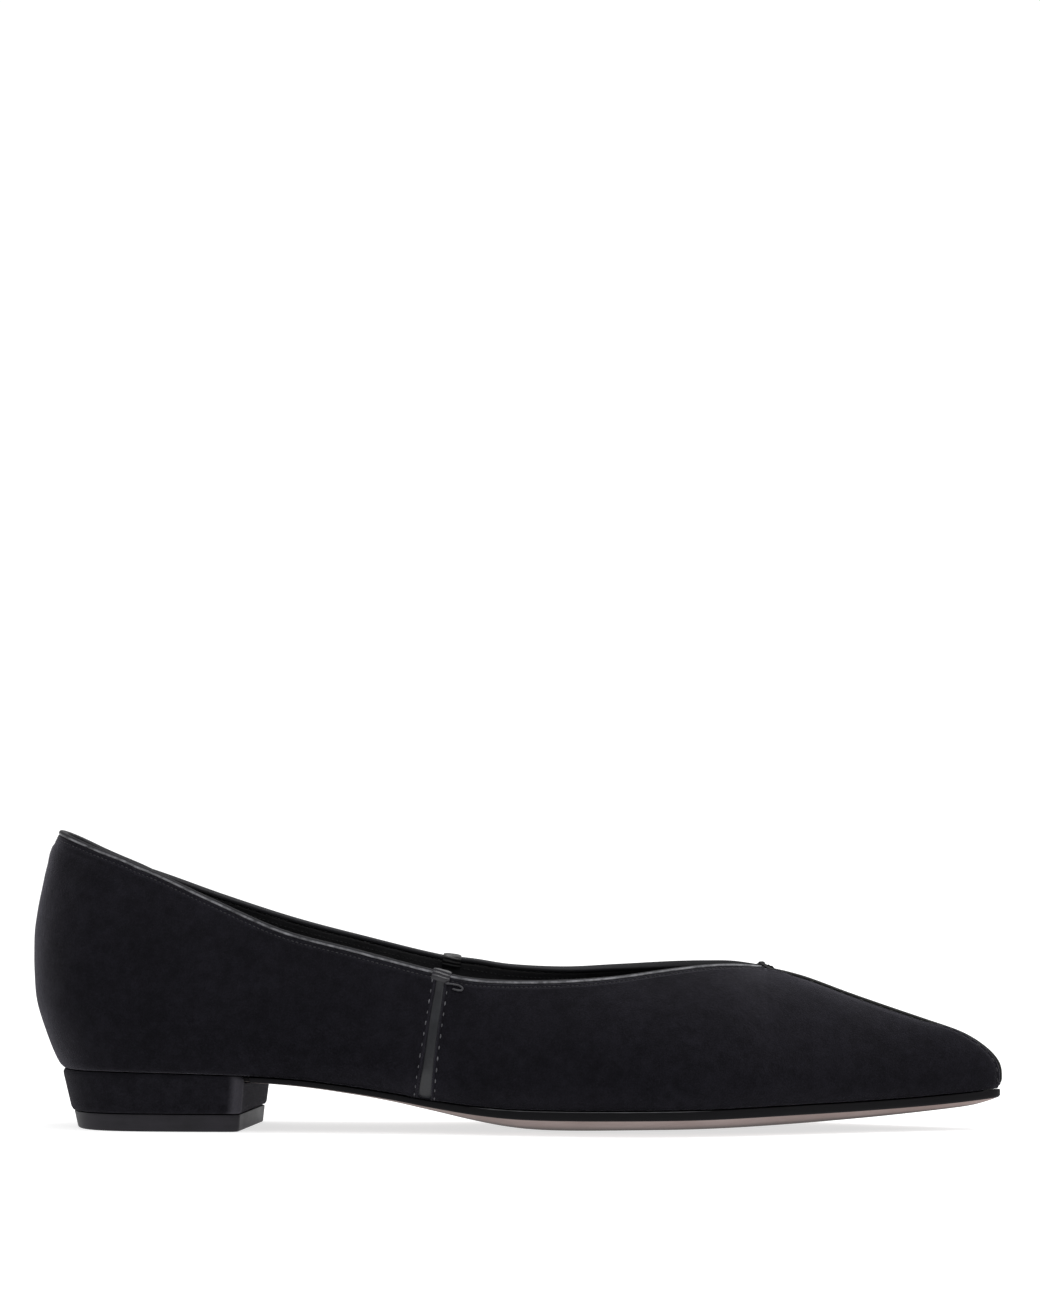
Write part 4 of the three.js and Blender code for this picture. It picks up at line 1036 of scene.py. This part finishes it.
def layer_piece(name, xs, section, material, sharp=None, marks=None):
    """A layer under the foot: a section for each rib, from the spine out over its top and back underneath."""
    loops, values = [], []
    lateral = [(x, LATERAL) for x in xs]
    medial = [(x, MEDIAL) for x in xs[-2:0:-1]]
    for x, side in lateral + medial:
        rib = rib_at(x, side)
        outs, heights = section(rib)
        loops.append(place(rib, outs, heights))
        if marks is not None:
            values.append(marks(x))
    loops = np.array(loops)
    numbers = np.arange(loops.shape[0] * loops.shape[1]).reshape(loops.shape[:2])
    faces = quads(np.vstack([numbers, numbers[:1]]), closed=False)
    points = loops.reshape(-1, 3)
    merged = bmesh.new()
    for point in (points + FRAME_SHIFT) * MM:
        merged.verts.new(point)
    merged.verts.ensure_lookup_table()
    if marks is not None:
        layer = merged.verts.layers.float.new("painted")
        for vertex, value in zip(merged.verts, np.concatenate(values)):
            vertex[layer] = value
    for face in faces:
        merged.faces.new([merged.verts[n] for n in face])
    bmesh.ops.remove_doubles(merged, verts=merged.verts, dist=SAME_POINT)
    bmesh.ops.dissolve_degenerate(merged, edges=merged.edges, dist=SAME_POINT / 2)
    return finished(bpy.data.meshes.new(name), merged, material, sharp)


def insole_section(rib):
    end = rib.reach - rib.tuck - WALL - CLEARANCE * 0.5
    shares = np.array([0, 0.2, 0.4, 0.6, 0.75, 0.87, 0.95, 0.985, 1, 1, 0.97, 0.8, 0.5, 0])
    drop = np.array([0, 0, 0, 0, 0, 0, 0.05, 0.25, 0.7, INSOLE_THICKNESS, *[INSOLE_THICKNESS] * 4])
    foot = crowned(sole_middle_top(rib.spine) + CLEARANCE, rib.feather, shares)
    return end * shares, foot + INSOLE_THICKNESS - drop


insole = layer_piece("insole_sock", lining_x, insole_section, lining_leather)
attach(insole, "root")
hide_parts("insole")

# Outsole: pale tan sole leather, crowned across its width, with its edge cut square and painted black.
# It is glued under the upper and runs back over the top of the heel block.
SOLE_LEDGE = 0.9
SEAT_INSET = 3
BREAST_AT = 61.7
BREAST_TURN = math.tan(math.radians(3.9))
SOLE_STEP_GAP = 1
SOLE_STEPS = {
    side: BREAST_AT + side * BREAST_TURN * BALL_WIDTH / 4 + CLEARANCE + SOLE_STEP_GAP for side in (-1, 1)
}
step_x = [at + gap for at in SOLE_STEPS.values() for gap in (-CLEARANCE, CLEARANCE)]
sole_x = np.sort(np.concatenate([lining_x, step_x]))
UNDER_SHARES = np.array([0.93, 0.86, 0.76, 0.64, 0.5, 0.36, 0.22, 0.1, 0])
TOP_SHARES = UNDER_SHARES[::-1]
# Stretch of the sole where the top of its edge carries a painted highlight
HIGHLIGHT_FROM, HIGHLIGHT_TO = (112, 130), (180, 196)
# Painted contact shadow under the middle of the sole
UNDER_SHADE_MARKS = np.array([0, 0, -0.1, -0.5, -0.85, -1, -1, -1, -1])
SOLE_MARKS = np.concatenate([np.ones(len(TOP_SHARES)), np.ones(8), [0.0], UNDER_SHADE_MARKS])


def sole_reach(rib, room=0.0):
    return rib.reach - rib.tuck + np.where(rib.x < SOLE_STEPS[rib.side], -SEAT_INSET, SOLE_LEDGE) + room


def sole_section(rib):
    end = sole_reach(rib)
    top = crowned(sole_middle_top(rib.spine), sole_top(rib.x), np.array(1.0))
    foot = crowned(sole_middle(rib.spine), sole_top(rib.x) - sole_edge(rib.x), np.array(1.0))
    edge_out = end - np.array([0.35, 0.16, 0.04, 0, 0, 0.07, 0.22, 0.45, 0.8])
    edge_z = np.concatenate([top - np.array([0, 0.05, 0.16, 0.35]), foot + np.array([0.45, 0.2, 0.06, 0, 0])])
    edge_z[-2:] = crowned(sole_middle(rib.spine), foot, edge_out[-2:] / end)
    top_z = crowned(sole_middle_top(rib.spine), sole_top(rib.x), TOP_SHARES)
    under_z = crowned(sole_middle(rib.spine), sole_top(rib.x) - sole_edge(rib.x), UNDER_SHARES)
    outs = np.concatenate([end * TOP_SHARES, edge_out, end * UNDER_SHARES])
    return outs, np.concatenate([top_z, edge_z, under_z])


def sole_marks(x):
    """1 on the painted edge, up to 2 where its top carries a painted highlight, 0 on the bare rim and down to
    -1 for painted shade under the middle.
    """
    marks = SOLE_MARKS.copy()
    rubbed = smooth_step(x, *HIGHLIGHT_FROM) * (1 - smooth_step(x, *HIGHLIGHT_TO))
    marks[len(TOP_SHARES) + 1:len(TOP_SHARES) + 3] += 0.9 * rubbed
    return marks


def sole_material():
    shader = Shader("sole_leather")
    cloud = shader.noise(45, 4, 0.6)
    grain = shader.noise(1500, 3, 0.6)
    brushed = shader.noise(700, 2)
    bare = shader.mix(cloud.between(0.3, 0.7), (0.20, 0.148, 0.136, 1), (0.27, 0.212, 0.200, 1))
    # Bare leather, darkened towards the middle underneath as a painted contact shadow.
    leather = shader.mix(shader.mark("painted").between(-1, 0), (0.055, 0.038, 0.034, 1), bare)
    paint = (shader.mark("painted") + (brushed - 0.5) * 0.25).between(0.35, 0.65)
    # Painted highlight, light grey, along the top of the edge where the mark rises towards 2.
    top_edge_highlight = (shader.mark("painted") + (shader.noise(140, 3) - 0.5) * 0.9).between(1.35, 2.0)
    edge = shader.mix(paint, leather, (0.0045, 0.0043, 0.0052, 1))
    return shader.surface(
        Base_Color=shader.mix(top_edge_highlight, edge, (0.110, 0.110, 0.117, 1)),
        Roughness=0.52 + (grain - 0.5) * 0.15,
        Specular_IOR_Level=0.08,
        Normal=shader.bump(grain * 0.7 + cloud * 0.3, 0.00008, 0.6),
    )


outsole = layer_piece("outsole_leather", sole_x, sole_section, sole_material(), sharp=60, marks=sole_marks)
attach(outsole, "root")
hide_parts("outsole")

# Heel block: a low block covered in the upper's suede, which is folded round both corners of the breast.
# It is glued and nailed to the seat, in a shallow recess that takes the sole.
BREAST_RAKE = 0.09
BREAST_CORNER = 2
HEEL_BACK_TAPER = 0.24
HEEL_SIDE_TAPER = 0.15
TOP_PIECE_HEIGHT = 4.7
TOP_PIECE_INSET = 0.6
TOP_PIECE_BREAST_INSET = 0.15
HEEL_STEPS = 44
CORNER_STEPS = 7
BREAST_STEPS = 20


def heel_loop(z, inset, breast_inset, steps=HEEL_STEPS):
    """D-shaped outline of the heel at a height, brought in at its sides and back, and at its breast."""
    drop = SEAT_HEIGHT - z

    def side_at(x, side):
        rib = rib_at(x, side)
        back = HEEL_SIDE_TAPER + (HEEL_BACK_TAPER - HEEL_SIDE_TAPER) * rib.along ** 2
        taper = np.where(x < HEEL_CENTRE, back, HEEL_SIDE_TAPER)
        return place(rib, rib.reach - rib.tuck - taper * drop - inset, z)

    halves, ends = {}, {}
    for side in (LATERAL, MEDIAL):
        width = abs(side_at(np.array(BREAST_AT - BREAST_CORNER), side)[1])
        front = BREAST_AT + BREAST_TURN * side * width - BREAST_RAKE * drop - breast_inset
        turn = QUARTER_TURN * np.arange(steps) / steps
        wall = side_at((front - BREAST_CORNER) * (1 - np.cos(turn)), side)
        turn = QUARTER_TURN * np.arange(CORNER_STEPS + 1) / CORNER_STEPS
        corner = np.stack([
            front - BREAST_CORNER * (1 - np.sin(turn)),
            side * (width - BREAST_CORNER * (1 - np.cos(turn))),
            np.full(len(turn), z),
        ], axis=-1)
        halves[side] = np.vstack([wall, corner])
        ends[side] = corner[-1]
    share = np.arange(1, BREAST_STEPS)[:, None] / BREAST_STEPS
    breast = ends[LATERAL] * (1 - share) + ends[MEDIAL] * share
    return np.vstack([halves[LATERAL], breast, halves[MEDIAL][:0:-1]])


def corner_marks():
    """1 on the folds at both breast corners, 0 elsewhere round the loop."""
    half = np.zeros(HEEL_STEPS + CORNER_STEPS + 1)
    half[HEEL_STEPS:] = 1
    return np.concatenate([half, np.zeros(BREAST_STEPS - 1), half[:0:-1]])


heel_foot = TOP_PIECE_HEIGHT + CLEARANCE
HEEL_LEVELS = 16
CORNER_FOLD = 0.16
FOOT_ROLL, FOOT_ROLL_LEVELS = 0.35, 1.5
TOP_ROLL, TOP_ROLL_LEVELS = 0.6, 1.7
heel_marks = corner_marks()
heel_loops, heel_rub = [], []
for level in range(HEEL_LEVELS + 1):
    share = level / HEEL_LEVELS
    foot_roll = FOOT_ROLL * max(0.0, 1 - share * HEEL_LEVELS / FOOT_ROLL_LEVELS) ** 2
    roll = foot_roll + TOP_ROLL * max(0.0, 1 - (1 - share) * HEEL_LEVELS / TOP_ROLL_LEVELS) ** 2
    loop = heel_loop(heel_foot + (SEAT_HEIGHT - CLEARANCE - heel_foot) * share, roll, roll)
    centre = np.array([HEEL_CENTRE, 0, 0])
    away = loop - centre
    away[:, 2] = 0
    loop = loop + unit(away) * (CORNER_FOLD * heel_marks)[:, None]
    roof = feather_height(np.maximum(loop[:, 0], 0)) - CLEARANCE
    loop[:, 2] = heel_foot + (roof - heel_foot) * share
    heel_loops.append(loop)
    # The corner folds are painted lighter as a highlight, partly also wear, and the bottom edge of the block
    # is lighter too.
    heel_rub.append(heel_marks * 0.85 + (0.3 if level == 0 else 0))
heel_loops = np.array(heel_loops)
# The upper's suede again with less sheen and a lighter colour, which is painted light on the block's sides;
# its corner colour is a painted highlight.
heel_suede = suede_material("heel_suede", (0.0038, 0.0036, 0.0050), (0.0112, 0.0106, 0.0142),
                            (0.046, 0.044, 0.052), 0.08)


def looped_piece(name, loops, material, sharp, **attributes):
    """A piece of stacked loops, with each end closed by rings of faces to its middle."""
    stack = [loops]
    for end, step in ((loops[0], -1), (loops[-1], 1)):
        centre = end.mean(0)
        rings = [centre + (end - centre) * s for s in (0.9, 0.6, 0.3, 0.02)]
        stack = [np.array(rings[::-1]), *stack] if step < 0 else [*stack, np.array(rings)]
    full = np.vstack(stack)
    numbers = np.arange(full.shape[0] * full.shape[1]).reshape(full.shape[:2])
    faces = [*quads(numbers), tuple(numbers[0]), tuple(numbers[-1][::-1])]
    ends = np.zeros(4 * loops.shape[1])
    pad = {key: np.concatenate([ends, np.concatenate(value), ends]) for key, value in attributes.items()}
    return add_piece(name, full.reshape(-1, 3), faces, material, sharp, **pad)


heel = looped_piece("heel_block_suede", heel_loops, heel_suede, 40, rub=heel_rub)


def recess_section(rib):
    end = sole_reach(rib, CLEARANCE)
    shares = np.array([0, 0.3, 0.6, 0.85, 1, 1, 0.85, 0.6, 0.3, 0])
    top = crowned(sole_middle_top(rib.spine), sole_top(rib.x), shares[:5]) + SOLE_THICKNESS
    foot = crowned(sole_middle(rib.spine), sole_top(rib.x) - sole_edge(rib.x), shares[5:]) - CLEARANCE
    return end * shares, np.concatenate([top, foot])


cutter = layer_piece("seat_recess", sole_x, recess_section, heel_suede)
recess = heel.modifiers.new("recess", "BOOLEAN")
recess.operation, recess.solver, recess.object = "DIFFERENCE", "EXACT", cutter
bpy.context.view_layer.update()
cut_mesh = bpy.data.meshes.new_from_object(heel.evaluated_get(bpy.context.evaluated_depsgraph_get()))
heel.modifiers.clear()
heel.data = cut_mesh
bpy.data.objects.remove(cutter)
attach(heel, "root")
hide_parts("heel_block")

# Top piece: the lift of smooth dark grey rubber that the heel stands on, with its edges slightly eased.
# It is nailed and glued under the block.
top_levels = [(0.0, 0.45), (0.12, 0.16), (0.4, 0.0), (1.5, 0), (2.8, 0), (TOP_PIECE_HEIGHT - 0.3, 0.0),
              (TOP_PIECE_HEIGHT - 0.08, 0.1), (TOP_PIECE_HEIGHT, 0.3)]
top_loops = np.array([
    heel_loop(z, TOP_PIECE_INSET + eased, TOP_PIECE_BREAST_INSET + eased) for z, eased in top_levels
])


def rubber_material():
    shader = Shader("heel_rubber")
    bloom = shader.noise(120, 4, 0.6)
    drawn_out = shader.node("Mapping", {"Vector": shader.place, "Scale": (60, 60, 900)})
    scuffs = shader.node("TexNoise", {"Vector": drawn_out, "Scale": 1.0, "Detail": 3.0})
    dusty = (bloom + scuffs * 0.5).between(0.45, 1.05)
    return shader.surface(
        Base_Color=shader.mix(dusty, (0.010, 0.0092, 0.0120, 1), (0.019, 0.0175, 0.022, 1)),
        Roughness=0.55 + (bloom - 0.5) * 0.25,
        Specular_IOR_Level=0.20,
        Normal=shader.bump(scuffs * 0.5 + shader.noise(2200, 2) * 0.5, 0.00006, 0.6),
    )


top_piece = looped_piece("top_piece_rubber", top_loops, rubber_material(), 40)
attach(top_piece, "root")
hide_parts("top_piece")

# Thread loop: a short end of waxed cord that comes out from under the lateral wrap and turns back on itself.
# It lies on the suede just below the topline.
CORD_RADIUS = 0.26
cord_x = np.array([115.0, 116.6, 118.2, 119.3, 119.6, 119.1, 117.9, 116.8])
cord_down = np.array([1.7, 1.5, 1.5, 1.8, 2.3, 2.7, 2.8, 2.7])
cord_points = []
for x, down in zip(cord_x, cord_down):
    rib = rib_at(x, LATERAL)
    out, height = profile(rib, np.linspace(0, 2, 400))
    base = place(rib, np.interp(rib.top - down, height, out), rib.top - down)
    cord_points.append(on_suede(base, np.array([0.0, -1.0, 0.0]), CORD_RADIUS * 0.8) or list(base))
fine = np.linspace(0, len(cord_points) - 1, 44)
cord_at = np.arange(len(cord_points))
cord_line = np.stack([smooth_curve(cord_at, values)(fine) for values in zip(*cord_points)], -1)
cord_way = unit(np.gradient(cord_line, axis=0))
cord_side = unit(np.cross(cord_way, [0.0, 1.0, 0.0]))
cord_up = np.cross(cord_side, cord_way)
around = np.linspace(0, 2 * math.pi, 11)[:-1]
taper = CORD_RADIUS * np.minimum(1, np.minimum(fine + 0.3, fine[-1] - fine + 0.3) / 0.5)
cord_loops = np.array([
    cord_line[i] + taper[i] * (np.outer(np.cos(around), cord_side[i]) + np.outer(np.sin(around), cord_up[i]))
    for i in range(len(fine))
])
cord = add_piece("thread_loop", cord_loops.reshape(-1, 3), capped(cord_loops, 0), cord_thread)
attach(cord, "root")

# Studio: a white floor that glows a little, soft light from above and behind, and less of it from in front.
# The camera stands low on the outer side of the shoe.
FLOOR = 9.0
floor_corners = [(-FLOOR, -FLOOR, 0), (FLOOR, -FLOOR, 0), (FLOOR, FLOOR, 0), (-FLOOR, FLOOR, 0)]
floor_mesh = bpy.data.meshes.new("studio_floor")
floor_mesh.from_pydata(floor_corners, [], [(0, 1, 2, 3)])
floor_mesh.materials.append(Shader("floor_white").surface(
    Base_Color=(0.50, 0.50, 0.50, 1),
    Roughness=0.9,
    Specular_IOR_Level=0.0,
    Emission_Color=(1, 1, 1, 1),
    Emission_Strength=0.68,
))
floor = bpy.data.objects.new("studio_floor", floor_mesh)
bpy.context.scene.collection.objects.link(floor)

world = bpy.data.worlds.new("studio")
world.use_nodes = True
bpy.context.scene.world = world
FRONT_LIGHT, BACK_LIGHT = 0.38, 1.06
sky = world.node_tree
way = sky.nodes.new("ShaderNodeTexCoord")
towards = sky.nodes.new("ShaderNodeVectorMath")
towards.operation = "DOT_PRODUCT"
towards.inputs[1].default_value = (0.0, 0.8, 0.6)
strength = sky.nodes.new("ShaderNodeMapRange")
for key, value in (("From Min", -0.4), ("From Max", 0.45), ("To Min", FRONT_LIGHT), ("To Max", BACK_LIGHT)):
    strength.inputs[key].default_value = value
sky.links.new(way.outputs["Generated"], towards.inputs[0])
sky.links.new(towards.outputs["Value"], strength.inputs["Value"])
background = sky.nodes["Background"]
background.inputs["Color"].default_value = (1.0, 1.0, 1.0, 1)
sky.links.new(strength.outputs["Result"], background.inputs["Strength"])


def soft_light(name, place_at, target, size, power):
    lamp = bpy.data.lights.new(name, "AREA")
    lamp.shape, lamp.size, lamp.energy = "DISK", size, power
    light = bpy.data.objects.new(name, lamp)
    light.location = place_at
    light.rotation_euler = (Vector(target) - Vector(place_at)).to_track_quat("-Z", "Y").to_euler()
    bpy.context.scene.collection.objects.link(light)


soft_light("overhead_softbox", (0.35, 0.05, 1.4), (0.03, 0, 0), 1.2, 15)
soft_light("toe_softbox", (1.3, -0.6, 0.9), (0, 0, 0.03), 0.7, 2.6)
soft_light("high_softbox", (-0.02, -0.75, 1.45), (0, 0, 0.04), 0.22, 2.2)

CAMERA_AT = Vector((0.072, -1.400, 0.104))
CAMERA_TARGET = Vector((0.000805, 0, 0.13065))
LENS = 141.68
camera_data = bpy.data.cameras.new("camera")
camera_data.lens, camera_data.sensor_width = LENS, 36
camera_data.clip_end = 50
camera = bpy.data.objects.new("camera", camera_data)
camera.location = CAMERA_AT
camera.rotation_euler = (CAMERA_TARGET - CAMERA_AT).to_track_quat("-Z", "Y").to_euler()
bpy.context.scene.collection.objects.link(camera)
bpy.context.scene.camera = camera
bpy.context.scene.view_settings.view_transform = "Standard"
